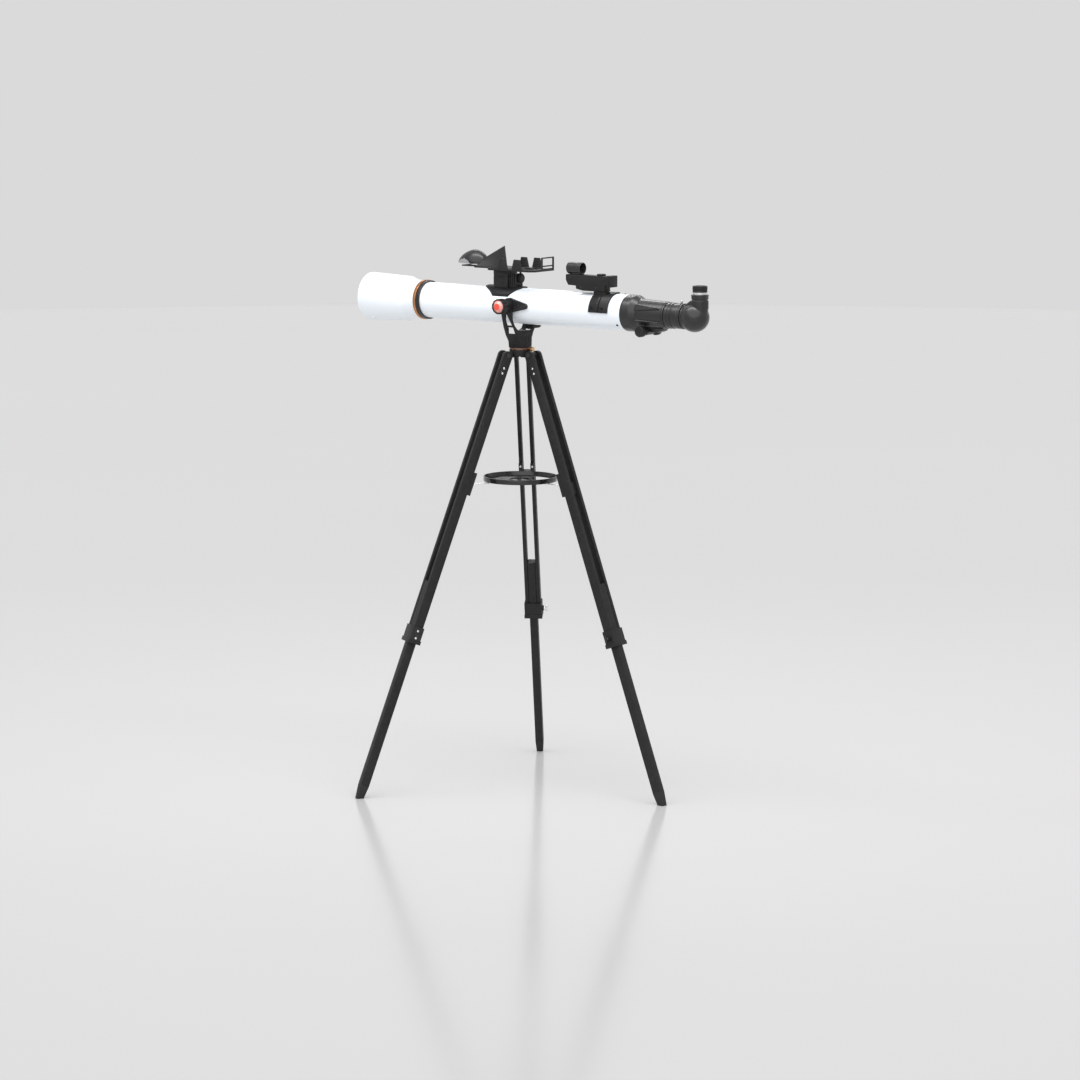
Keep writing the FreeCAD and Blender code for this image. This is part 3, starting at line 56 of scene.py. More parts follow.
# The frames that pieces are drawn in, in millimetres. UPRIGHT has its origin
# where the optical axis crosses the azimuth axis.
bolt_low, bolt_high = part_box("azimuth_bolt")
AXIS_X = (bolt_low.x + bolt_high.x) / 2
tube_low, tube_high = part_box("main_tube")
OPTICAL_Z = (tube_low.z + tube_high.z) / 2
FLOOR = Matrix.Translation((AXIS_X, 0, 0))
UPRIGHT = Matrix.Translation((AXIS_X, 0, OPTICAL_Z))
PIVOT_RADIUS = 0.0417
PIVOT_HEIGHT = 1.070
LEG_TILT = math.atan2(0.430 - PIVOT_RADIUS, PIVOT_HEIGHT)
ALTITUDE = UPRIGHT @ Matrix.Translation((0, 0, 3.5 * MM))
LEGS = (("rear", 0.0), ("left", 240.0), ("right", 120.0))

# Places in the UPRIGHT frame, in millimetres.
PINION_X, PINION_Z = 384.0, -39.5
HOLDER_X = 532.5
FINDER_Y = -14.0
SIGHT_Z = 101.4
DIAL_X = 254.7
TENSION_Z = -55.0
DOCK_KNOB_Z = 67.0


def turn(axis, degrees):
    return Matrix.Rotation(math.radians(degrees), 4, axis)


def shift(x, y, z):
    """A move in millimetres, for use inside a piece's own frame."""
    return Matrix.Translation((x, y, z))


def half_turn(side):
    """Turns a piece drawn for the +Y side round to the -Y side."""
    return turn("Z", 0 if side > 0 else 180)


def leg_frame(azimuth):
    """The leg's own frame: its pivot at the origin, the leg hanging along -Z."""
    hinge = Matrix.Translation((PIVOT_RADIUS, 0, PIVOT_HEIGHT))
    return FLOOR @ turn("Z", azimuth) @ hinge @ Matrix.Rotation(-LEG_TILT, 4, "Y")


# ---------------------------------------------------------------- materials


def new_material(name):
    material = bpy.data.materials.new(name)
    material.use_nodes = True
    tree = material.node_tree
    return material, tree, tree.nodes["Principled BSDF"]


def coordinates(tree):
    return tree.nodes.new("ShaderNodeTexCoord").outputs["Object"]


def noise(tree, vector, scale, detail, roughness=0.55):
    node = tree.nodes.new("ShaderNodeTexNoise")
    node.inputs["Scale"].default_value = scale
    node.inputs["Detail"].default_value = detail
    node.inputs["Roughness"].default_value = roughness
    tree.links.new(vector, node.inputs["Vector"])
    return node.outputs["Fac"]


def cells(tree, vector, scale):
    node = tree.nodes.new("ShaderNodeTexVoronoi")
    node.inputs["Scale"].default_value = scale
    tree.links.new(vector, node.inputs["Vector"])
    return node.outputs["Distance"]


def spread(tree, value, low, high, start=0.3, finish=0.7):
    node = tree.nodes.new("ShaderNodeMapRange")
    node.inputs["From Min"].default_value = start
    node.inputs["From Max"].default_value = finish
    node.inputs["To Min"].default_value = low
    node.inputs["To Max"].default_value = high
    tree.links.new(value, node.inputs["Value"])
    return node.outputs["Result"]


def ramp(tree, value, stops):
    node = tree.nodes.new("ShaderNodeValToRGB")
    bar = node.color_ramp
    while len(bar.elements) < len(stops):
        bar.elements.new(0.5)
    for element, (place, colour) in zip(bar.elements, stops):
        element.position = place
        element.color = (*colour, 1.0)
    tree.links.new(value, node.inputs["Fac"])
    return node.outputs["Color"]


def maths(tree, kind, one, two):
    node = tree.nodes.new("ShaderNodeMath")
    node.operation = kind
    for socket, value in zip(node.inputs, (one, two)):
        if isinstance(value, (int, float)):
            socket.default_value = value
        else:
            tree.links.new(value, socket)
    return node.outputs["Value"]


def blend_colour(tree, factor, one, two):
    node = tree.nodes.new("ShaderNodeMix")
    node.data_type = "RGBA"
    tree.links.new(factor, node.inputs["Factor"])
    for socket, value in ((node.inputs[6], one), (node.inputs[7], two)):
        if isinstance(value, tuple):
            socket.default_value = (*value, 1.0)
        else:
            tree.links.new(value, socket)
    return node.outputs[2]


def bump(tree, shader, height, strength, distance):
    node = tree.nodes.new("ShaderNodeBump")
    node.inputs["Strength"].default_value = strength
    node.inputs["Distance"].default_value = distance
    tree.links.new(height, node.inputs["Height"])
    tree.links.new(node.outputs["Normal"], shader.inputs["Normal"])


def worn_edges(tree, base, worn, amount=0.6):
    """Lightens the ridges, where hands and cases rub the finish."""
    geometry = tree.nodes.new("ShaderNodeNewGeometry")
    vector = coordinates(tree)
    edge = spread(tree, geometry.outputs["Pointiness"], 0.0, amount, 0.53, 0.62)
    patch = spread(tree, noise(tree, vector, 90.0, 4.0), 0.2, 1.0, 0.4, 0.65)
    return blend_colour(tree, maths(tree, "MULTIPLY", edge, patch), base, worn)


def plastic(name, dark, light, rough, coat=0.0, gloss=0.3, haze=0.12):
    """Moulded plastic: faint tone drift, spark-eroded grain, rubbed edges."""
    material, tree, shader = new_material(name)
    vector = coordinates(tree)
    drift = noise(tree, vector, 14.0, 3.0)
    base = ramp(tree, drift, ((0.3, dark), (0.7, light)))
    worn = tuple(min(1.0, channel * 2.2 + 0.01) for channel in light)
    tree.links.new(worn_edges(tree, base, worn), shader.inputs["Base Color"])
    smear = noise(tree, vector, 42.0, 4.0, 0.65)
    tree.links.new(
        spread(tree, smear, rough - 0.06, rough + 0.08), shader.inputs["Roughness"]
    )
    fine = noise(tree, vector, 1400.0, 2.0)
    pits = cells(tree, vector, 980.0)
    bump(tree, shader, maths(tree, "MULTIPLY", fine, pits), 0.35, 0.00006)
    shader.inputs["Specular IOR Level"].default_value = gloss
    shader.inputs["Coat Weight"].default_value = coat
    shader.inputs["Coat Roughness"].default_value = haze
    return material


def textured_paint(name, dark, light, rough):
    """Powder coat on an aluminium section: pebbled bump and a fine speckle."""
    material, tree, shader = new_material(name)
    vector = coordinates(tree)
    drift = noise(tree, vector, 9.0, 3.0)
    base = ramp(tree, drift, ((0.3, dark), (0.7, light)))
    worn = tuple(channel * 3.0 + 0.02 for channel in light)
    tree.links.new(worn_edges(tree, base, worn, 0.5), shader.inputs["Base Color"])
    pebble = cells(tree, vector, 850.0)
    dust = noise(tree, vector, 2400.0, 2.0)
    tree.links.new(
        spread(tree, noise(tree, vector, 60.0, 4.0), rough - 0.05, rough + 0.07),
        shader.inputs["Roughness"],
    )
    grain = maths(tree, "ADD", pebble, maths(tree, "MULTIPLY", dust, 0.4))
    bump(tree, shader, grain, 0.5, 0.00012)
    shader.inputs["Specular IOR Level"].default_value = 0.25
    return material


def enamel(name):
    """Gloss white paint with a slight orange peel and a cool tone."""
    material, tree, shader = new_material(name)
    vector = coordinates(tree)
    drift = noise(tree, vector, 5.0, 2.0)
    tree.links.new(
        ramp(tree, drift, ((0.3, (0.845, 0.895, 0.945)), (0.7, (0.855, 0.905, 0.955)))),
        shader.inputs["Base Color"],
    )
    smear = noise(tree, vector, 26.0, 5.0, 0.6)
    tree.links.new(spread(tree, smear, 0.24, 0.28), shader.inputs["Roughness"])
    peel = noise(tree, vector, 320.0, 2.0)
    bump(tree, shader, peel, 0.12, 0.00008)
    shader.inputs["Coat Weight"].default_value = 0.3
    shader.inputs["Coat Roughness"].default_value = 0.08
    return material


def metal(name, dark, light, rough, strength=0.15):
    """Turned or plated metal with fine tool lines and light tarnish."""
    material, tree, shader = new_material(name)
    vector = coordinates(tree)
    tarnish = noise(tree, vector, 70.0, 4.0)
    tree.links.new(ramp(tree, tarnish, ((0.3, dark), (0.7, light))), shader.inputs["Base Color"])
    tooled = noise(tree, vector, 260.0, 3.0)
    tree.links.new(spread(tree, tooled, rough - 0.06, rough + 0.08), shader.inputs["Roughness"])
    bump(tree, shader, tooled, strength, 0.00004)
    shader.inputs["Metallic"].default_value = 1.0
    return material


def rubber(name):
    material, tree, shader = new_material(name)
    vector = coordinates(tree)
    scuff = noise(tree, vector, 110.0, 5.0, 0.7)
    tree.links.new(
        ramp(tree, scuff, ((0.35, (0.009, 0.009, 0.009)), (0.75, (0.020, 0.020, 0.019)))),
        shader.inputs["Base Color"],
    )
    tree.links.new(spread(tree, scuff, 0.68, 0.85), shader.inputs["Roughness"])
    bump(tree, shader, noise(tree, vector, 900.0, 3.0), 0.4, 0.0001)
    return material


def coated_glass(name):
    """Objective glass with a faint green and violet coating bloom."""
    material, tree, shader = new_material(name)
    vector = coordinates(tree)
    facing = tree.nodes.new("ShaderNodeLayerWeight")
    facing.inputs["Blend"].default_value = 0.35
    tree.links.new(
        ramp(
            tree,
            facing.outputs["Facing"],
            ((0.0, (0.86, 0.97, 0.93)), (0.5, (0.80, 0.84, 0.98)), (1.0, (0.93, 0.84, 0.97))),
        ),
        shader.inputs["Base Color"],
    )
    dust = noise(tree, vector, 240.0, 5.0, 0.7)
    tree.links.new(spread(tree, dust, 0.01, 0.05, 0.5, 0.8), shader.inputs["Roughness"])
    shader.inputs["Transmission Weight"].default_value = 0.92
    shader.inputs["IOR"].default_value = 1.5
    return material


def tinted_resin(name, dark, light, glow):
    """Translucent coloured plastic with a milky scatter."""
    material, tree, shader = new_material(name)
    vector = coordinates(tree)
    cloud = noise(tree, vector, 160.0, 3.0)
    tree.links.new(ramp(tree, cloud, ((0.3, dark), (0.7, light))), shader.inputs["Base Color"])
    smear = noise(tree, vector, 60.0, 3.0)
    tree.links.new(spread(tree, smear, 0.14, 0.24), shader.inputs["Roughness"])
    shader.inputs["Subsurface Weight"].default_value = glow
    shader.inputs["Subsurface Radius"].default_value = (0.004, 0.0015, 0.001)
    shader.inputs["Subsurface Scale"].default_value = 1.0
    shader.inputs["Coat Weight"].default_value = 0.7
    shader.inputs["Coat Roughness"].default_value = 0.06
    bump(tree, shader, noise(tree, vector, 700.0, 2.0), 0.08, 0.00005)
    return material


PLASTIC = plastic("black_moulding", (0.009, 0.009, 0.010), (0.014, 0.014, 0.015), 0.42)
SATIN = plastic("satin_moulding", (0.010, 0.010, 0.011), (0.015, 0.015, 0.016), 0.27, 0.1, 0.45)
GLOSSY = plastic(
    "glossy_moulding", (0.007, 0.007, 0.008), (0.010, 0.010, 0.011), 0.33, 0.5, 0.35, haze=0.3
)
TRAY_PLASTIC = plastic(
    "tray_moulding", (0.007, 0.007, 0.008), (0.011, 0.011, 0.012), 0.20, 0.3, 0.4
)
# Lighter grey for the low front and near side of the dock hood: a painted reflection of the pale
# floor.
PAINTED_REFLECTION = plastic("painted_floor_reflection", (0.22, 0.225, 0.23), (0.27, 0.275, 0.28), 0.30, 0.3, 0.5)
PAINT = textured_paint("black_powder_coat", (0.010, 0.010, 0.011), (0.015, 0.015, 0.016), 0.46)
WHITE = enamel("white_enamel")
INSIDE = plastic("flat_black_lining", (0.006, 0.006, 0.006), (0.012, 0.012, 0.012), 0.85)
COPPER = metal("copper_anodise", (0.46, 0.20, 0.085), (0.60, 0.29, 0.14), 0.20)
# Darker copy of the copper finish: painted shade on the head ring, not a different metal.
SHADED_COPPER = metal("copper_painted_shade", (0.15, 0.085, 0.06), (0.22, 0.13, 0.095), 0.26)
# Paler, brighter copy of the copper finish: a painted highlight on the azimuth thumbscrew.
HIGHLIT_COPPER = metal("copper_painted_highlight", (0.80, 0.48, 0.22), (0.92, 0.62, 0.34), 0.18)
SILVER = metal("bright_steel", (0.66, 0.66, 0.67), (0.84, 0.84, 0.85), 0.24)
RUBBER = rubber("foot_rubber")
GLASS = coated_glass("coated_glass")
MIRROR = metal("front_mirror", (0.86, 0.88, 0.90), (0.90, 0.91, 0.93), 0.07, strength=0.02)
RED = tinted_resin("red_button", (0.80, 0.055, 0.025), (0.90, 0.090, 0.045), 0.2)
SALMON = tinted_resin("salmon_cone", (0.80, 0.30, 0.26), (0.88, 0.40, 0.35), 0.3)
DARK_RED = tinted_resin("dark_red_tip", (0.16, 0.012, 0.010), (0.24, 0.022, 0.018), 0.1)
BLACK_STEEL = metal("black_oxide_steel", (0.045, 0.045, 0.05), (0.085, 0.085, 0.09), 0.36)

FINISH = {
    "black_plastic": PLASTIC,
    "black_metal": PAINT,
    "black_cast": PAINT,
    "white_enamel": WHITE,
    "copper": COPPER,
    "silver": SILVER,
    "rubber": RUBBER,
    "glass": GLASS,
    "mirror": MIRROR,
    "red": RED,
    "tray_plastic": TRAY_PLASTIC,
}
SLOT_OF = {part["node"]: part["material_slot"] for part in frame["record"]["subparts"]}
OWN_FINISH = {
    "focuser_screws": BLACK_STEEL,
    "leg_pivot_bolts": BLACK_STEEL,
    "azimuth_bolt": BLACK_STEEL,
}
for label, cad in nodes.items():
    finish = OWN_FINISH.get(label, FINISH[SLOT_OF[label]])
    if not cad.material_slots:
        cad.data.materials.append(finish)
    for slot in cad.material_slots:
        slot.material = finish


# ---------------------------------------------------------------- mesh tools


def fillet(points, radius, steps=4):
    """Rounds the corners of a closed outline; a third value is a corner's own radius."""
    rounded = []
    count = len(points)
    for i, point in enumerate(points):
        here = Vector(point[:2])
        size = point[2] if len(point) > 2 else radius
        back = Vector(points[i - 1][:2]) - here
        ahead = Vector(points[(i + 1) % count][:2]) - here
        angle = back.angle(ahead)
        reach = size / math.tan(angle / 2)
        reach = min(reach, back.length * 0.49, ahead.length * 0.49)
        size = reach * math.tan(angle / 2)
        if size < 1e-4 or angle > math.pi - 0.02:
            rounded.append((here.x, here.y))
            continue
        middle = back.normalized() + ahead.normalized()
        centre = here + middle.normalized() * (size / math.sin(angle / 2))
        first = here + back.normalized() * reach - centre
        last = here + ahead.normalized() * reach - centre
        sweep = math.atan2(first.x * last.y - first.y * last.x, first.dot(last))
        for k in range(steps + 1):
            bend = sweep * k / steps
            rounded.append(
                (
                    centre.x + first.x * math.cos(bend) - first.y * math.sin(bend),
                    centre.y + first.x * math.sin(bend) + first.y * math.cos(bend),
                )
            )
    return rounded


def circle(radius, steps):
    bends = [TAU * i / steps for i in range(steps)]
    return [(radius * math.cos(bend), radius * math.sin(bend)) for bend in bends]


def rectangle(x0, y0, x1, y1):
    return [(x0, y0), (x1, y0), (x1, y1), (x0, y1)]


def bow(start, finish, radius):
    """Points along an arc; a positive radius bulges to the left of the way."""
    steps = 10
    start, finish = Vector(start), Vector(finish)
    chord = finish - start
    normal = Vector((-chord.y, chord.x)).normalized() * math.copysign(1, radius)
    rise = math.sqrt(radius**2 - (chord.length / 2) ** 2)
    centre = (start + finish) / 2 - normal * rise
    first, last = start - centre, finish - centre
    sweep = math.atan2(first.x * last.y - first.y * last.x, first.dot(last))
    points = []
    for k in range(steps + 1):
        bend = sweep * k / steps
        points.append(
            (
                centre.x + first.x * math.cos(bend) - first.y * math.sin(bend),
                centre.y + first.x * math.sin(bend) + first.y * math.cos(bend),
            )
        )
    return points


def offset(points, inward):
    """Moves a closed counter-clockwise outline inward by a distance."""
    moved = []
    count = len(points)
    for i, point in enumerate(points):
        here = Vector(point)
        one = (here - Vector(points[i - 1])).normalized()
        two = (Vector(points[(i + 1) % count]) - here).normalized()
        n1, n2 = Vector((-one.y, one.x)), Vector((-two.y, two.x))
        scale = inward / max(0.3, 1.0 + n1.dot(n2))
        moved.append((here.x + (n1.x + n2.x) * scale, here.y + (n1.y + n2.y) * scale))
    return moved


def skin(bm, rings, index, close):
    """Quads between rings of vertices; close caps both ends, or joins them up."""
    made = []
    pairs = list(zip(rings, rings[1:]))
    if close == "loop":
        pairs.append((rings[-1], rings[0]))
    for one, two in pairs:
        count = max(len(one), len(two))
        for i in range(count):
            j = (i + 1) % count
            corners = []
            for ring, k in ((one, i), (one, j), (two, j), (two, i)):
                vertex = ring[k % len(ring)]
                if vertex not in corners:
                    corners.append(vertex)
            if len(corners) > 2:
                made.append(bm.faces.new(corners))
    if close == "caps":
        for ring in (rings[0], rings[-1]):
            if len(ring) > 2:
                made.append(bm.faces.new(ring))
    for face in made:
        face.material_index = index
    return made


def add_lathe(bm, profile, where=Matrix(), index=0, steps=72, close="loop"):
    """Turns (along, radius) points about the local X axis."""
    rings = []
    for along, radius in profile:
        if radius < 1e-6:
            rings.append([bm.verts.new(where @ Vector((along, 0, 0)))])
            continue
        ring = []
        for i in range(steps):
            bend = TAU * i / steps
            spot = Vector((along, radius * math.cos(bend), radius * math.sin(bend)))
            ring.append(bm.verts.new(where @ spot))
        rings.append(ring)
    return skin(bm, rings, index, close)


def add_slab(bm, outline, low, high, edge, where=Matrix(), steps=3):
    """An outline in local XY made solid from low to high, with rounded rims."""
    area = sum(
        a[0] * b[1] - a[1] * b[0] for a, b in zip(outline, outline[1:] + outline[:1])
    )
    if area < 0:
        outline = outline[::-1]
    levels = []
    for k in range(steps + 1):
        bend = math.pi / 2 * k / steps
        levels.append((edge * (1 - math.cos(bend)), edge * (1 - math.sin(bend))))
    rings = []
    heights = [(low + rise, inset) for rise, inset in levels]
    heights += [(high - rise, inset) for rise, inset in levels[::-1]]
    for height, inset in heights:
        inner = offset(outline, inset)
        rings.append([bm.verts.new(where @ Vector((*p, height))) for p in inner])
    skin(bm, rings, 0, "caps")


def add_block(bm, low, high, edge, where=Matrix()):
    """A box between two corners, its upright edges rounded a little more than its rims."""
    outline = fillet(rectangle(low[0], low[1], high[0], high[1]), edge * 1.4, 3)
    add_slab(bm, outline, low[2], high[2], edge, where)


PIECE_CREASE = math.radians(32)
CAD_CREASE = math.radians(38)


def piece(name, bm, body, replaced=(), materials=(PLASTIC,), where=UPRIGHT):
    """Finishes mesh data drawn in millimetres and hangs it on its body."""
    bmesh.ops.recalc_face_normals(bm, faces=bm.faces)
    mesh = bpy.data.meshes.new(name)
    bm.to_mesh(mesh)
    bm.free()
    mesh.transform(where @ Matrix.Scale(MM, 4))
    for material in materials:
        mesh.materials.append(material)
    mesh.shade_smooth()
    mesh.set_sharp_from_angle(angle=PIECE_CREASE)
    obj = bpy.data.objects.new(name, mesh)
    scene.collection.objects.link(obj)
    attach(obj, body)
    if replaced:
        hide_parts(*replaced)


def softened(name, node, body, width, material, segments=2):
    """A copy of a CAD piece whose sharp edges are rounded."""
    source = nodes[node]
    bm = bmesh.new()
    bm.from_mesh(source.data)
    bmesh.ops.remove_doubles(bm, verts=bm.verts, dist=2e-6)
    bmesh.ops.dissolve_limit(
        bm, angle_limit=math.radians(0.6), verts=bm.verts, edges=bm.edges
    )
    mesh = bpy.data.meshes.new(name)
    bm.to_mesh(mesh)
    bm.free()
    mesh.materials.append(material)
    obj = bpy.data.objects.new(name, mesh)
    scene.collection.objects.link(obj)
    rounding = obj.modifiers.new("rounding", "BEVEL")
    rounding.width = width * MM
    rounding.segments = segments
    rounding.limit_method = "ANGLE"
    rounding.angle_limit = CAD_CREASE
    rounding.use_clamp_overlap = True
    graph = bpy.context.evaluated_depsgraph_get()
    final = bpy.data.meshes.new_from_object(obj.evaluated_get(graph))
    obj.modifiers.clear()
    obj.data = final
    final.name = name
    final.shade_smooth()
    final.set_sharp_from_angle(angle=CAD_CREASE)
    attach(obj, body)
    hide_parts(node)


def slab_y(bm, outline, near, far, edge, where=Matrix()):
    """An outline in (x, z) made solid between two values of y."""
    swap = Matrix(((1, 0, 0, 0), (0, 0, 1, 0), (0, 1, 0, 0), (0, 0, 0, 1)))
    add_slab(bm, outline, near, far, edge, where @ swap)


def upright_axis(x, y, z):
    """Puts a lathe's X axis along +Z at a point."""
    return shift(x, y, z) @ turn("Y", -90)


def sideways_axis(x, y, z):
    """Puts a lathe's X axis along +Y at a point."""
    return shift(x, y, z) @ turn("Z", 90)


def scalloped(radius, count, depth, steps):
    """A grip outline with rounded hollows cut into a circle."""
    points = []
    for i in range(steps):
        bend = TAU * i / steps
        dip = max(0.0, math.cos(count * bend)) ** 3
        reach = radius - depth * dip
        points.append((reach * math.cos(bend), reach * math.sin(bend)))
    return points


def knurled(bm, radius, low, high, count, where, depth, edge):
    """A grip whose rim has fine straight teeth; its axis is local Z."""
    outline = []
    for i in range(count * 2):
        bend = TAU * i / (count * 2)
        reach = radius - (depth if i % 2 else 0.0)
        outline.append((reach * math.cos(bend), reach * math.sin(bend)))
    add_slab(bm, outline, low, high, edge, where, steps=2)


def paint(faces, steps, first, last, index):
    """Gives the faces between two points of a lathe's profile another material."""
    for face in faces[first * steps : last * steps]:
        face.material_index = index


# ------------------------------------------------------------- optical tube

bm = bmesh.new()
shell = [(-289.5, 42.8), (-289.5, 44.0), (-120, 44.0), (110, 44.0), (328, 44.0), (328, 42.8)]
faces = add_lathe(bm, shell, steps=128)
paint(faces, 128, 5, 6, 1)
piece("tube_shell", bm, "tube", ["main_tube"], materials=(WHITE, INSIDE))

bm = bmesh.new()
outside = [(-464.0, 59.6), (-463.7, 60.1), (-463.0, 60.26), (-420.0, 58.5)]
outside += bow((-345, 55.5), (-297.5, 49.2), -70)
inside = bow((-345, 53.1), (-297.5, 46.6), -70)[::-1] + [(-463.0, 58.3)]
faces = add_lathe(bm, outside + inside + [(-463.7, 58.45), (-464.0, 58.9)], steps=144)
paint(faces, 144, len(outside), len(outside) + len(inside) - 1, 1)
piece("dew_shield_shell", bm, "tube", ["dew_shield"], materials=(WHITE, INSIDE))

bm = bmesh.new()
ring = [(-297.5, 44.6), (-289.5, 44.6), (-289.5, 49.4), (-297.5, 49.4)]
add_lathe(bm, fillet(ring, 0.9), steps=128)
piece("dew_ring", bm, "tube", ["dew_accent_ring"], materials=(COPPER,))

bm = bmesh.new()
cell = [
    (-330, 39.0), (-327, 39.0), (-327, 40.7), (-312, 40.7), (-312, 39.0), (-289.6, 39.0),
    (-289.6, 44.05), (-279.5, 44.05), (-279.5, 48.2), (-289.4, 48.2), (-289.4, 44.4), (-330, 44.4),
]
add_lathe(bm, fillet(cell, 0.35, 2), steps=128)
for i in range(6):
    spanner = turn("X", 60 * i + 10) @ shift(-330.4, 0, 42.1)
    add_block(bm, (-0.4, -2.4, -1.6), (0.5, 2.4, 1.6), 0.3, spanner)
piece("lens_cell", bm, "tube", ["objective_cell"], materials=(SATIN,))

bm = bmesh.new()
LENS_RADIUS, LENS_EDGE, LENS_CENTRE = 237.0, 40.6, -89.2
front = []
for k in range(13):
    reach = LENS_EDGE * k / 12
    front.append((LENS_CENTRE - math.sqrt(LENS_RADIUS**2 - reach**2), reach))
back = [(-312.6, LENS_EDGE), (-312.4, LENS_EDGE - 0.3), (-312.4, 0.0)]
add_lathe(bm, front + back, steps=96, close="open")
piece("front_lens", bm, "tube", ["objective_lens"], materials=(GLASS,))

softened("side_brackets", "altitude_brackets", "tube", 1.1, PLASTIC, segments=3)
bm = bmesh.new()
for x, z in ((30.0, 3.5), (48.5, 3.5)):
    add_lathe(
        bm, [(0.0, 0.0), (0.0, 2.9), (0.5, 3.2), (1.0, 2.6), (1.0, 0.0)],
        sideways_axis(x, -49.9, z) @ turn("Z", 180), 0, 28, "open",
    )
piece("bracket_screws", bm, "tube", materials=(BLACK_STEEL,))

# ------------------------------------------------------------------ focuser

bm = bmesh.new()
body_profile = [
    (314.0, 42.7, 0.2), (314.0, 40.6, 0.2), (347.0, 40.6, 0.5), (347.0, 28.0, 0.5),
    (445.0, 28.0, 0.4), (445.0, 32.2, 0.8), (441.6, 32.6, 0.5), (441.2, 31.7, 0.2), (439.8, 31.7, 0.2),
    (439.4, 32.8, 0.6), (367.0, 36.0, 5.0), (353.0, 44.0, 4.0), (333.0, 44.5, 0.8), (328.2, 44.2, 0.8),
    (328.2, 42.7, 0.2),
]
add_lathe(bm, fillet(body_profile, 0.5, 6), steps=128)
for bearing, wide in ((62.0, 1.0), (-62.0, 1.0), (118.0, 0.8), (-118.0, 0.8)):
    fairing = [
        (364.0, -7.5 * wide), (368.0, -8.5 * wide), (432.0, -1.2), (435.0, 0.0),
        (432.0, 1.2), (368.0, 8.5 * wide), (364.0, 7.5 * wide),
    ]
    lean = shift(400, 0, 0) @ turn("Y", 2.4) @ shift(-400, 0, 0)
    add_slab(bm, fillet(fairing, 1.0), 26.0, 38.2, 1.8, turn("X", bearing) @ lean)
rack_house = [(371, -31), (371, -42), (420, -42), (430, -38), (432, -33), (431, -31)]
slab_y(bm, fillet(rack_house, 1.5), -14, 14, 1.6)
housing = [(-14.0, 0.0), (-14.0, 9.6), (-13.0, 10.6), (13.0, 10.6), (14.0, 9.6), (14.0, 0.0)]
add_lathe(bm, housing, sideways_axis(PINION_X, 0, PINION_Z), 0, 64, "open")
collar = fillet([(0.0, 5.0), (3.6, 5.0), (3.6, 9.2), (0.0, 9.8)], 0.7)
for side in (-1, 1):
    add_lathe(bm, collar, sideways_axis(PINION_X, 13.6 * side, PINION_Z) @ half_turn(side), 0, 40)
stud = [(0.0, 0.0), (0.0, 2.2), (0.6, 2.5), (1.1, 2.0), (1.1, 0.0)]
for x in (402.0, 417.0):
    add_lathe(bm, stud, shift(x, 0, -42.2) @ turn("Y", 90), 0, 24, "open")
piece("focuser_casting", bm, "tube", ["focuser_body"], materials=(GLOSSY,))

bm = bmesh.new()
for bearing in (0.0, 130.0, 230.0):
    seat = turn("X", bearing) @ upright_axis(316, 0, 43.9)
    head = [(0.0, 0.0), (0.0, 3.0), (0.9, 2.9), (1.6, 2.0), (1.6, 1.2), (0.7, 1.2), (0.7, 0.0)]
    add_lathe(bm, head, seat, 0, 32, "open")
piece("focuser_bolts", bm, "tube", ["focuser_screws"], materials=(BLACK_STEEL,))

bm = bmesh.new()
draw_profile = [
    (350.0, 24.0), (462.0, 24.0), (462.0, 15.96), (490.8, 15.96), (490.8, 30.2), (489.6, 30.8),
    (486.2, 30.8), (485.2, 29.6), (483.6, 29.6), (482.8, 30.5), (466.4, 30.5), (465.4, 29.4),
    (463.8, 29.4), (462.9, 31.2), (457.6, 31.2), (456.8, 29.8), (454.9, 29.8), (454.0, 31.3),
    (446.6, 31.3), (445.7, 30.6), (445.7, 27.5), (350.0, 27.5),
]
add_lathe(bm, fillet(draw_profile, 0.45, 3), steps=128)
add_block(bm, (302, -4, -31), (440, 4, -26.5), 0.3)
for i in range(44):
    add_block(bm, (303.0 + 3.1 * i, -3.4, -32.1), (304.6 + 3.1 * i, 3.4, -30.8), 0.2)
piece("drawtube_turning", bm, "drawtube", ["drawtube"], materials=(GLOSSY,))

bm = bmesh.new()
thumb = [(16.4, 0.001), (16.4, 1.7), (31.2, 1.7), (31.2, 2.9), (37.8, 2.9), (38.0, 0.001)]
screw = [(along, max(radius, 0.02)) for along, radius in fillet(thumb, 0.35, 2)]
add_lathe(bm, screw, upright_axis(480, 0, 0), 0, 28)
knurled(bm, 3.1, 31.8, 37.2, 20, shift(480, 0, 0), 0.25, 0.3)
piece("drawtube_thumbscrew", bm, "draw_lock", ["drawtube_screw"], materials=(SILVER,))

bm = bmesh.new()
pin = [(-38, 0.02), (-38, 3.0), (-4, 3.0), (-4, 7.0), (4, 7.0), (4, 3.0), (38, 3.0), (38, 0.02)]
add_lathe(bm, fillet(pin, 0.2, 2), sideways_axis(PINION_X, 0, PINION_Z), 0, 32)
for i in range(12):
    tooth = shift(PINION_X, 0, PINION_Z) @ turn("Y", 30 * i)
    add_block(bm, (-0.9, -3.9, 6.6), (0.9, 3.9, 7.9), 0.2, tooth)
piece("pinion_axle", bm, "pinion", ["pinion_shaft"], materials=(SILVER,))

bm = bmesh.new()
inner_flange = fillet([(24.5, 3.1), (26.9, 3.1), (26.9, 12.2), (24.5, 11.6)], 0.5)
cap = [
    (39.1, 0.0), (39.1, 12.4), (40.1, 12.6), (41.1, 12.0), (41.4, 10.8), (40.7, 9.4), (40.7, 0.0),
]
for side in (-1, 1):
    outward = shift(PINION_X, 0, PINION_Z) @ turn("X", -90 * side)
    knurled(bm, 13.5, 26.5, 39.5, 40, outward, 0.5, 0.7)
    add_lathe(bm, inner_flange, outward @ turn("Y", -90), 0, 48)
    add_lathe(bm, cap, outward @ turn("Y", -90), 0, 48, "open")
piece("focus_grips", bm, "pinion", ["focus_knobs"], materials=(PLASTIC,))

# ----------------------------------------------------- diagonal and eyepiece

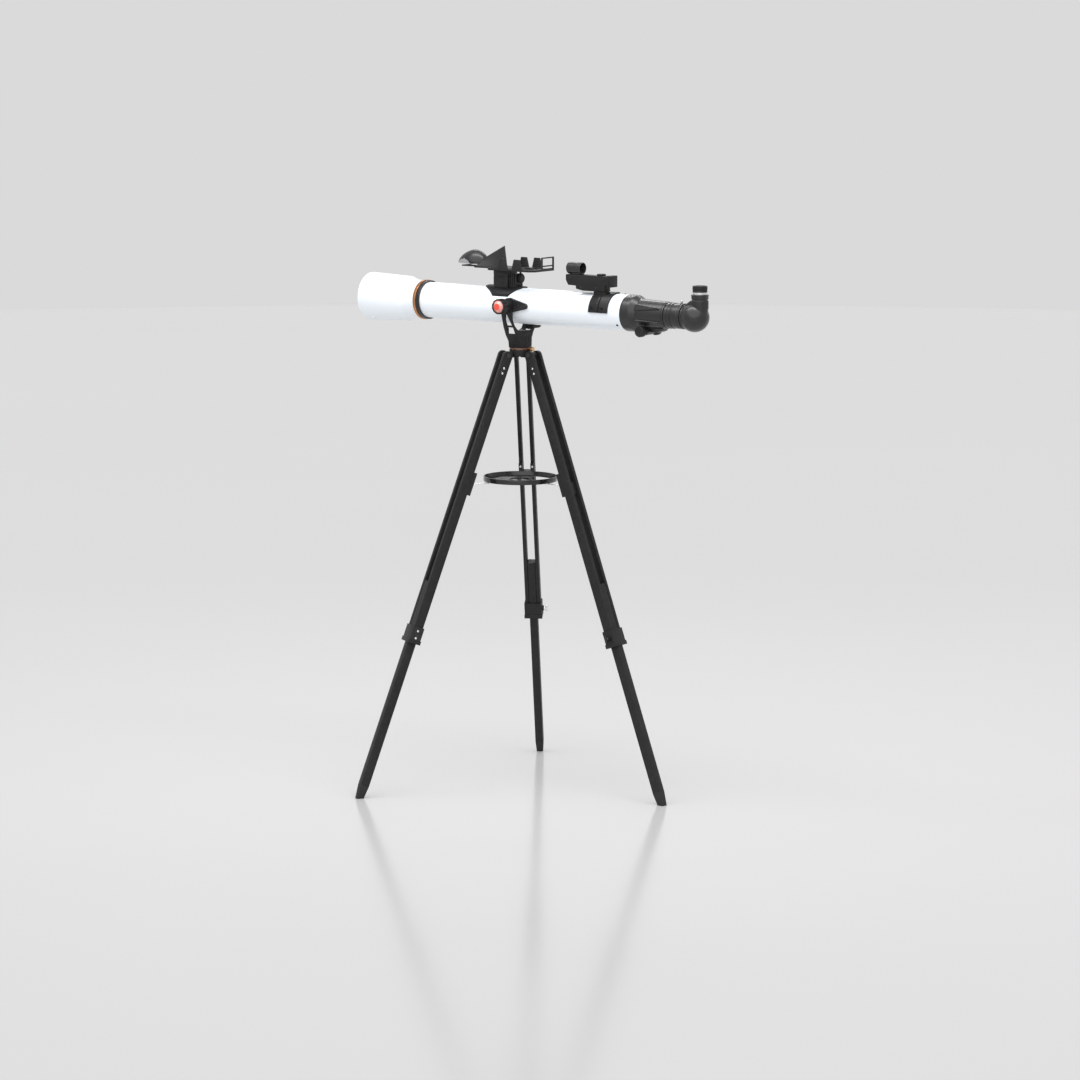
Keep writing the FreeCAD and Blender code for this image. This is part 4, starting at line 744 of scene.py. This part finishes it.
bm = bmesh.new()
ELBOW_X, ELBOW_Z, ELBOW_R = 518.0, -1.0, 35.2
ball = []
for k in range(25):
    bend = math.pi * k / 24
    ball.append((ELBOW_X - ELBOW_R * math.cos(bend), ELBOW_R * math.sin(bend)))
trimmed = [(x, r) for x, r in ball if x > 500.5]
collar = [
    (491.8, 14.0), (491.8, 28.6), (492.8, 29.6), (494.6, 29.6), (495.4, 28.9), (497.0, 29.0),
    (498.6, 30.0),
]
add_lathe(bm, collar + trimmed, shift(0, 0, ELBOW_Z), 0, 96, "open")
nosepiece = [(464.2, 13.4), (464.2, 15.6), (464.6, 15.88), (492.4, 15.88), (492.4, 13.4)]
add_lathe(bm, nosepiece, Matrix(), 0, 64)
roof = fillet([(497, 10), (497, 28), (507, 36), (516, 41.5), (522, 40), (548, 24), (548, 10)], 3.0)
slab_y(bm, roof, -15.5, 15.5, 5.0)
holder_profile = [
    (4.0, 16.0), (4.0, 20.0), (40.0, 20.0), (41.0, 19.3), (43.0, 19.3), (44.0, 20.6), (50.0, 20.6),
    (50.8, 21.2), (53.4, 21.2), (54.0, 20.6), (54.0, 16.0),
]
add_lathe(bm, fillet(holder_profile, 0.4, 3), upright_axis(HOLDER_X, 0, 0), 0, 96)
FLUTES = 28
for i in range(FLUTES):
    flute = shift(HOLDER_X, 0, 0) @ turn("Z", 360 / FLUTES * i)
    add_block(bm, (19.5, -0.75, 20.0), (20.6, 0.75, 39.4), 0.3, flute)
rivet = [(34.6, 0.0), (34.6, 3.2), (35.3, 3.2), (35.6, 2.6), (35.6, 0.0)]
cheek = shift(ELBOW_X, 0, ELBOW_Z) @ turn("Z", -58) @ turn("Y", -4)
add_lathe(bm, rivet, cheek, 0, 32, "open")
piece("elbow_housing", bm, "diagonal", ["diagonal_housing"], materials=(GLOSSY,))

bm = bmesh.new()
lens_barrel = [
    (20.0, 12.4), (20.0, 15.5), (20.4, 15.87), (60.0, 15.87), (60.0, 17.5), (61.0, 17.9),
    (63.0, 17.9), (63.6, 17.3), (64.8, 17.3), (65.4, 17.6), (71.6, 17.6), (72.4, 17.9), (74.2, 17.9),
    (75.0, 17.2), (75.0, 13.6), (68.4, 7.4), (67.4, 7.4), (67.4, 12.4),
]
add_lathe(bm, fillet(lens_barrel, 0.35, 3), upright_axis(HOLDER_X, 0, 0), 0, 96)
for i in range(30):
    rib = shift(HOLDER_X, 0, 0) @ turn("Z", 12 * i)
    add_block(bm, (17.0, -0.7, 65.6), (17.9, 0.7, 71.4), 0.25, rib)
eye_lens = [(66.0, 0.0), (66.3, 5.0), (67.2, 7.5), (65.6, 7.5), (65.0, 0.0)]
add_lathe(bm, eye_lens, upright_axis(HOLDER_X, 0, 0), 1, 48, "open")
piece("eyepiece_barrel", bm, "eyepiece", ["eyepiece_body"], materials=(PLASTIC, GLASS))

bm = bmesh.new()
band = [(54.4, 15.9), (60.0, 15.9), (60.0, 17.3), (54.4, 17.3)]
add_lathe(bm, fillet(band, 0.4), upright_axis(HOLDER_X, 0, 0), 0, 96)
piece("eyepiece_ring", bm, "eyepiece", ["eyepiece_band"], materials=(SILVER,))

# ------------------------------------------------------------------- finder

BESIDE = shift(0, FINDER_Y, 0)
softened("finder_clamp", "finder_saddle", "tube", 0.8, PLASTIC)
bm = bmesh.new()
shell = [
    (157, 73), (164, 61), (187, 60), (187, 52.6), (208, 48.8), (272.5, 48.6), (272.5, 64),
    (280, 64), (280, 60.4), (293.6, 60.4), (293.6, 88.2), (280, 88.2), (279.6, 86.6), (157, 86.6),
]
slab_y(bm, fillet(shell, 1.6), -12.6, 12.6, 1.3, BESIDE)
panel = fillet([(196, 62), (214, 54), (262, 54), (262, 80), (196, 80)], 3.0)
slab_y(bm, panel, -13.0, 13.0, 0.5, BESIDE)
for x in (282.4, 285.2, 288.0, 290.8):
    slat = fillet(rectangle(x - 0.7, 63.5, x + 0.7, 85.5), 0.4)
    slab_y(bm, slat, -13.0, 13.0, 0.4, BESIDE)
flat_head = [(0.0, 0.0), (0.0, 2.1), (0.5, 2.1), (0.75, 1.6), (0.75, 0.0)]
for x, z in ((170.0, 79.5), (202.0, 57.5), (246.0, 57.5), (268.5, 80.0)):
    for side in (-1, 1):
        seat = sideways_axis(x, FINDER_Y + 12.4 * side, z) @ half_turn(side)
        add_lathe(bm, flat_head, seat, 1, 24, "open")
piece("finder_casing", bm, "tube", ["finder_body"], materials=(PLASTIC, BLACK_STEEL))

bm = bmesh.new()
sight_line = shift(0, 0, SIGHT_Z)
hood_profile = [
    (159.4, 12.5), (159.0, 13.0), (159.0, 13.8), (159.6, 14.3),
    (199.0, 14.4), (199.6, 14.0), (199.8, 13.4), (199.4, 12.5),
]
add_lathe(bm, hood_profile, sight_line, 0, 80)
for x in (168.0, 190.0):
    hoop = [(x, 14.0), (x + 3, 14.0), (x + 3, 14.6), (x, 14.6)]
    add_lathe(bm, fillet(hoop, 0.25, 2), sight_line, 0, 80)
add_slab(bm, fillet(rectangle(172, -9, 197.6, 9), 2.0), 86.9, 90.5, 0.6)
window = [(164.0, 0.0), (163.4, 5.0), (162.2, 12.55), (164.2, 12.55), (165.4, 5.0), (166.0, 0.0)]
add_lathe(bm, window, sight_line, 1, 64, "open")
finder_frame = UPRIGHT @ Matrix.Translation((0, FINDER_Y * MM, 0))
piece(
    "finder_hood", bm, "tube", ["finder_sight_tube"],
    materials=(SATIN, GLASS), where=finder_frame,
)

bm = bmesh.new()
knurled(bm, 11.0, 87.2, 90.6, 44, shift(DIAL_X, FINDER_Y, 0), 0.5, 0.5)
dial_face = [(90.4, 0.0), (90.4, 8.6), (91.0, 8.4), (91.2, 7.4), (91.2, 0.0)]
add_lathe(bm, dial_face, upright_axis(DIAL_X, FINDER_Y, 0), 0, 48, "open")
add_block(bm, (254.0, FINDER_Y - 8.0, 91.0), (255.4, FINDER_Y - 2.0, 91.3), 0.1)
piece("finder_switch", bm, "finder_dial", ["finder_dial"], materials=(PLASTIC,))

# --------------------------------------------------------------- phone dock

softened("dock_foot", "dock_saddle", "tube", 1.0, PLASTIC, segments=3)
softened("dock_column", "dock_post", "tube", 0.7, PLASTIC)
softened("dock_deck", "dock_platform", "dock_platform", 0.6, PLASTIC)
softened("dock_clamp_bar", "dock_jaw", "dock_jaw", 0.6, PLASTIC)


def grip_ridges(name, body, places, near, far):
    """Rubber ridges, shorter toward the tip, on the two fingers of one side."""
    bm = bmesh.new()
    for x in places:
        for z in (96.0, 100.0, 104.0, 108.0, 112.0):
            wide = 13.0 - (z - 92.0) * 0.27
            add_block(bm, (x - wide, near, z - 0.8), (x + wide, far, z + 0.8), 0.3)
    piece(name, bm, body, materials=(RUBBER,))


grip_ridges("finger_grips", "dock_platform", (-20.5, 22.0), -42.2, -41.4)
grip_ridges("jaw_grips", "dock_jaw", (-20.5, 19.5), 41.4, 42.2)

bm = bmesh.new()
grip = shift(0, 0, DOCK_KNOB_Z) @ turn("Y", 90)
knurled(bm, 11.0, -0.6, 6.4, 26, grip, 0.8, 0.6)
axle = [(-19.0, 0.02), (-19.0, 3.0), (0.0, 3.0), (0.0, 8.6), (8.0, 8.2), (8.0, 0.02)]
add_lathe(bm, fillet(axle, 0.5, 3), shift(0, 0, DOCK_KNOB_Z), 0, 48)
piece("dock_hand_knob", bm, "dock_knob", ["dock_adjust_knob"], materials=(PLASTIC,))

bm = bmesh.new()
HOOD_ROWS, HOOD_COLUMNS = 20, 96
HOOD_CENTRE = Vector((-143.5, 0.0, 97.5))
HOOD_LEAN = 7.0
REFLECTION_START, REFLECTION_SPAN, REFLECTION_RISE = 198, 94, 12.5


def dome(long, wide, tall):
    """A pointed leaf of a dome whose crown leans toward the post."""
    rings = []
    for k in range(HOOD_ROWS):
        rise = math.pi / 2 * k / HOOD_ROWS
        out = math.cos(rise) ** 1.25
        lean = HOOD_LEAN * math.sin(rise) ** 1.5
        height = tall * math.sin(rise) + 0.5
        ring = []
        for i in range(HOOD_COLUMNS):
            bend = TAU * i / HOOD_COLUMNS
            spot = (long * out * math.cos(bend) + lean, wide * out * math.sin(bend), height)
            ring.append(bm.verts.new(HOOD_CENTRE + Vector(spot)))
        rings.append(ring)
    rings.append([bm.verts.new(HOOD_CENTRE + Vector((HOOD_LEAN, 0, tall)))])
    return rings[0], skin(bm, rings, 0, "open")


rim_outside, outer_faces = dome(42.0, 28.0, 34.0)
rim_inside = dome(39.5, 25.6, 31.8)[0]
skin(bm, [rim_outside, rim_inside], 0, "open")
# Faces low on the front and near side of the dome take the lighter grey, which is a painted reflection
# of the floor.
for face in outer_faces:
    spot = face.calc_center_median() - HOOD_CENTRE
    bearing = math.degrees(math.atan2(spot.y, spot.x)) % 360
    share = (bearing - REFLECTION_START) / REFLECTION_SPAN
    if 0 < share < 1 and spot.z < REFLECTION_RISE * math.sin(math.pi * share) ** 0.8:
        face.material_index = 1
foot = [(-120, -23, 93), (-120, 23, 93), (-42, 3.5, 93), (-42, -3.5, 93)]
ridge = [(-105, -9, 112), (-105, 9, 112), (-47.5, 1.0, 144.6), (-47.5, -1.0, 144.6)]
FIN_LEVELS, FIN_STEPS = 10, 6
rings = []
for k in range(FIN_LEVELS + 1):
    share = k / FIN_LEVELS
    corners = [Vector(low).lerp(Vector(high), share) for low, high in zip(foot, ridge)]
    ring = []
    for one, two in zip(corners, corners[1:] + corners[:1]):
        for step in range(FIN_STEPS):
            ring.append(bm.verts.new(one.lerp(two, step / FIN_STEPS)))
    rings.append(ring)
skin(bm, rings, 0, "caps")
piece("dock_cowl", bm, "dock_platform", ["dock_hood"], materials=(SATIN, PAINTED_REFLECTION))

bm = bmesh.new()
disc = [(96.0, 0.0), (96.0, 19.6), (96.3, 20.0), (97.7, 20.0), (98.0, 19.6), (98.0, 0.0)]
add_lathe(bm, disc, upright_axis(-158, 0, 0), 0, 64, "open")
piece("fold_mirror", bm, "dock_platform", ["dock_mirror"], materials=(MIRROR,))

# --------------------------------------------------------------- yoke, knobs

softened("fork_casting", "yoke_fork", "yoke", 1.0, PAINT, segments=3)
bm = bmesh.new()
for side in (-1, 1):
    for i in range(-3, 4):
        low = (16.4, 6.0 * i - 0.8, -99.0)
        high = (17.6, 6.0 * i + 0.8, -73.0)
        add_block(bm, low, high, 0.3, half_turn(side))
    for i in range(-2, 3):
        low = (6.0 * i - 0.8, -25.2, -99.5)
        high = (6.0 * i + 0.8, -24.0, -88.0)
        add_block(bm, low, high, 0.3, half_turn(side) @ shift(0, -0.4, 0))
piece("fork_ribs", bm, "yoke", materials=(PAINT,))

bm = bmesh.new()
outward = turn("X", 90)
GRIP_RADIUS, GRIP_STEPS = 18.8, 96
rim = scalloped(GRIP_RADIUS, 12, 1.5, GRIP_STEPS)
rings = []
for z, inset in ((71.0, 1.0), (71.3, 0.3), (72.0, 0.0), (89.9, 0.0), (90.9, 0.4), (91.5, 1.2)):
    scale = (GRIP_RADIUS - inset) / GRIP_RADIUS
    rings.append([bm.verts.new(outward @ Vector((x * scale, y * scale, z))) for x, y in rim])
for z, radius in ((91.5, 16.5), (91.2, 16.0), (88.5, 16.0)):
    hollow = circle(radius, GRIP_STEPS)
    rings.append([bm.verts.new(outward @ Vector((x, y, z))) for x, y in hollow])
skin(bm, rings, 0, "caps")
piece("altitude_grip", bm, "altitude_lock", ["altitude_lock_knob"], where=ALTITUDE)

bm = bmesh.new()
face_on = outward @ turn("Y", -90)
cone = [(88.6, 0.0), (88.6, 15.5), (89.1, 15.8), (89.9, 15.4), (94.9, 9.0), (95.5, 8.4), (95.5, 0.0)]
add_lathe(bm, cone, face_on, 0, 72, "open")
button = [(95.4, 0.0), (95.4, 8.1), (96.1, 8.0), (96.6, 7.2), (96.8, 4.5), (96.9, 0.0)]
add_lathe(bm, button, face_on, 1, 72, "open")
piece(
    "altitude_button", bm, "altitude_lock", ["altitude_knob_disc"],
    materials=(SALMON, RED), where=ALTITUDE,
)

bm = bmesh.new()
tension_axis = sideways_axis(0, 0, TENSION_Z)
screw = [
    (36.0, 0.0), (36.0, 2.5), (56.6, 2.5), (57.0, 3.2), (60.4, 4.3), (61.0, 4.5),
    (77.0, 4.5), (77.6, 4.2), (77.6, 0.0),
]
add_lathe(bm, screw, tension_axis, 0, 40, "open")
RIBS = 14
for i in range(RIBS):
    rib = shift(0, 0, TENSION_Z) @ turn("Y", 360 / RIBS * i)
    add_block(bm, (-0.6, 61.8, 4.1), (0.6, 76.4, 4.9), 0.2, rib)
tip = [(77.5, 0.0), (77.5, 4.3), (79.0, 4.3), (82.4, 3.3), (83.6, 2.0), (83.6, 0.0)]
add_lathe(bm, tip, tension_axis, 1, 40, "open")
piece(
    "tension_handle", bm, "altitude_tension", ["altitude_tension_screw"],
    materials=(PLASTIC, DARK_RED),
)

# --------------------------------------------------------------- tripod head

softened("head_casting", "tripod_hub", "tripod_head", 0.9, PAINT, segments=3)
# The head ring takes the darker copper copy, which is painted shade.
bm = bmesh.new()
washer = [(1087.4, 6.1), (1093.0, 6.1), (1093.0, 26.5), (1087.4, 26.5)]
add_lathe(bm, fillet(washer, 0.9), turn("Y", -90), 0, 128)
piece(
    "head_ring", bm, "tripod_head", ["hub_accent_ring"],
    materials=(SHADED_COPPER,), where=FLOOR,
)

# The azimuth thumbscrew takes the brighter copper copy, which is a painted highlight.
bm = bmesh.new()
lock_axis = shift(0, 0, 1090.2)
knob = [
    (8.0, 0.0), (8.0, 1.6), (30.0, 1.6), (30.2, 3.4), (31.0, 4.0), (39.0, 5.4), (40.4, 5.2),
    (41.2, 4.0), (41.2, 0.0),
]
add_lathe(bm, knob, lock_axis, 0, 48, "open")
for i in range(18):
    add_block(bm, (31.6, -0.45, 4.1), (38.6, 0.45, 5.4), 0.15, lock_axis @ turn("X", 20 * i))
piece(
    "azimuth_thumbscrew", bm, "azimuth_lock", ["azimuth_lock_knob"],
    materials=(HIGHLIT_COPPER,), where=FLOOR,
)

# --------------------------------------------------------------------- legs


RAIL_Y = 14.7
THUMBSCREW_Z = -714.0
PAN_HEAD = [(0.0, 0.0), (0.0, 2.7), (0.5, 2.6), (1.0, 1.9), (1.15, 1.0), (0.5, 0.9), (0.5, 0.0)]
THUMBSCREW = [
    (10.2, 0.0), (10.2, 2.5), (26.2, 2.5), (26.4, 4.0), (27.0, 4.4), (30.4, 4.4),
    (31.0, 3.8), (31.6, 2.8), (31.6, 0.0),
]
WING = [
    (29.0, 0.0), (29.0, 2.6), (30.6, 8.2), (33.4, 8.5), (36.4, 6.4), (36.4, 3.0),
    (33.6, 1.6), (32.0, 0.0),
]


def build_leg(leg, azimuth):
    """One leg in its own frame: rails, clamp, screws and the sliding lower leg."""
    where = leg_frame(azimuth)
    body = "leg_" + leg
    lower = "lower_" + leg
    bm = bmesh.new()
    for y in (-RAIL_Y, RAIL_Y):
        add_slab(bm, fillet(rectangle(-12, y - 4.5, 12, y + 4.5), 1.0, 3), -733.0, -14.0, 0.4)
    piece("rails_" + leg, bm, body, ["leg_rails_" + leg], materials=(PAINT,), where=where)
    softened("knuckle_and_block_" + leg, "leg_spacers_" + leg, body, 1.0, PLASTIC, segments=3)
    softened("clamp_sleeve_" + leg, "leg_clamp_" + leg, body, 0.9, PLASTIC, segments=3)

    bm = bmesh.new()
    heads = []
    for down in (27.5, 40.5):
        heads.append(sideways_axis(0, 19.1, -down))
        heads.append(sideways_axis(0, -19.1, -down) @ turn("Z", 180))
    for down in (704.0, 722.0):
        heads.append(sideways_axis(0, 21.7, -down))
    for across in (-RAIL_Y, RAIL_Y):
        heads.append(shift(-19.9, across, -300.0) @ turn("Z", 180))
    for head in heads:
        add_lathe(bm, PAN_HEAD, head, 0, 28, "open")
    piece("screws_" + leg, bm, body, ["leg_screws_" + leg], materials=(SILVER,), where=where)

    bm = bmesh.new()
    section = fillet(rectangle(-11.25, -9.8, 11.25, 9.8), 1.4, 3)
    add_slab(bm, section, -1104.0, -579.3, 0.4)
    piece("inner_leg_" + leg, bm, lower, ["lower_leg_" + leg], materials=(PAINT,), where=where)
    softened("foot_" + leg, "foot_tip_" + leg, lower, 1.2, RUBBER, segments=3)

    bm = bmesh.new()
    finish = BLACK_STEEL if leg == "rear" else SILVER
    thumb = sideways_axis(0, 0, THUMBSCREW_Z) @ turn("Z", 180)
    add_lathe(bm, THUMBSCREW, thumb, 0, 36, "open")
    swap = Matrix(((0, 0, 1, 0), (1, 0, 0, 0), (0, 1, 0, 0), (0, 0, 0, 1)))
    for side in (-1, 1):
        outline = fillet([(-y, side * z) for y, z in WING], 1.2, 3)
        add_slab(bm, outline, -1.5, 1.5, 0.5, shift(0, 0, THUMBSCREW_Z) @ swap)
    piece(
        "thumbscrew_" + leg, bm, "leg_lock_" + leg, ["leg_lock_screw_" + leg],
        materials=(finish,), where=where,
    )


for leg, azimuth in LEGS:
    build_leg(leg, azimuth)

# --------------------------------------------------------------------- tray

softened("tray_moulding", "accessory_tray", "tray", 0.7, TRAY_PLASTIC, segments=2)
bm = bmesh.new()
rim_bead = [(774.2, 88.2), (775.0, 88.2), (775.0, 91.0), (773.4, 91.0)]
floor_bead = [(765.0, 26.0), (767.2, 26.0), (767.2, 28.0), (765.0, 28.0)]
add_lathe(bm, fillet(rim_bead, 0.3, 2), turn("Y", -90), 0, 144)
add_lathe(bm, fillet(floor_bead, 0.5, 2), turn("Y", -90), 0, 96)
piece("tray_beads", bm, "tray", materials=(TRAY_PLASTIC,), where=FLOOR)

# ------------------------------------------------------ stage, light, camera


def stage_sheet():
    """A plain, pale, flat and slightly glossy round floor."""
    bm = bmesh.new()
    rings = [[bm.verts.new((0, 0, 0))]]
    for radius in (3.0, 9.0, 13.5):
        rings.append([bm.verts.new((x, y, 0)) for x, y in circle(radius, 96)])
    skin(bm, rings, 0, "open")
    bmesh.ops.recalc_face_normals(bm, faces=bm.faces)
    mesh = bpy.data.meshes.new("studio_floor")
    bm.to_mesh(mesh)
    bm.free()
    material, tree, shader = new_material("pale_floor")
    vector = coordinates(tree)
    cloud = noise(tree, vector, 0.6, 2.0)
    tree.links.new(
        ramp(tree, cloud, ((0.3, (0.595, 0.595, 0.595)), (0.7, (0.605, 0.605, 0.605)))),
        shader.inputs["Base Color"],
    )
    shader.inputs["Roughness"].default_value = 0.16
    shader.inputs["Specular IOR Level"].default_value = 0.5
    mesh.materials.append(material)
    obj = bpy.data.objects.new("studio_floor", mesh)
    scene.collection.objects.link(obj)


def area_light(name, place, target, size, power):
    data = bpy.data.lights.new(name, "AREA")
    data.shape = "RECTANGLE"
    data.size, data.size_y = size
    data.energy = power
    lamp = bpy.data.objects.new(name, data)
    lamp.location = place
    aim = Vector(target) - Vector(place)
    lamp.rotation_euler = aim.to_track_quat("-Z", "Y").to_euler()
    scene.collection.objects.link(lamp)


def sky_light(name, heading, power, width):
    """A very wide sun lamp, for soft light from one side of the sky."""
    data = bpy.data.lights.new(name, "SUN")
    data.energy = power
    data.angle = math.radians(width)
    lamp = bpy.data.objects.new(name, data)
    lamp.rotation_euler = Vector(heading).to_track_quat("-Z", "Y").to_euler()
    scene.collection.objects.link(lamp)


stage_sheet()
world = bpy.data.worlds.new("studio_air")
world.use_nodes = True
background = world.node_tree.nodes["Background"]
background.inputs["Color"].default_value = (1.0, 1.0, 1.0, 1.0)
background.inputs["Strength"].default_value = 0.70
scene.world = world
area_light("overhead_softbox", (0.15, -0.3, 2.35), (0.05, 0, 1.2), (1.7, 0.3), 10.0)
area_light("rear_strip", (-0.9, 1.6, 2.7), (0.3, 0, 1.2), (1.6, 0.4), 11.0)
sky_light("soft_sky", (-0.30, 0.62, -0.85), 2.1, 95)

scene.view_settings.view_transform = "Standard"
scene.view_settings.look = "None"

CAMERA_PLACE = Vector((6.0909, -8.1449, 2.1010))
CAMERA_AZIMUTH = 36.517
CAMERA_PITCH = 8.315
CAMERA_LENS = 138.70
camera_data = bpy.data.cameras.new("studio_camera")
camera_data.sensor_width = 36.0
camera_data.lens = CAMERA_LENS
camera_data.clip_end = 100.0
camera = bpy.data.objects.new("studio_camera", camera_data)
camera.location = CAMERA_PLACE + Vector((AXIS_X, 0, 0))
camera.rotation_euler = (math.radians(90 - CAMERA_PITCH), 0, math.radians(CAMERA_AZIMUTH))
scene.collection.objects.link(camera)
scene.camera = camera
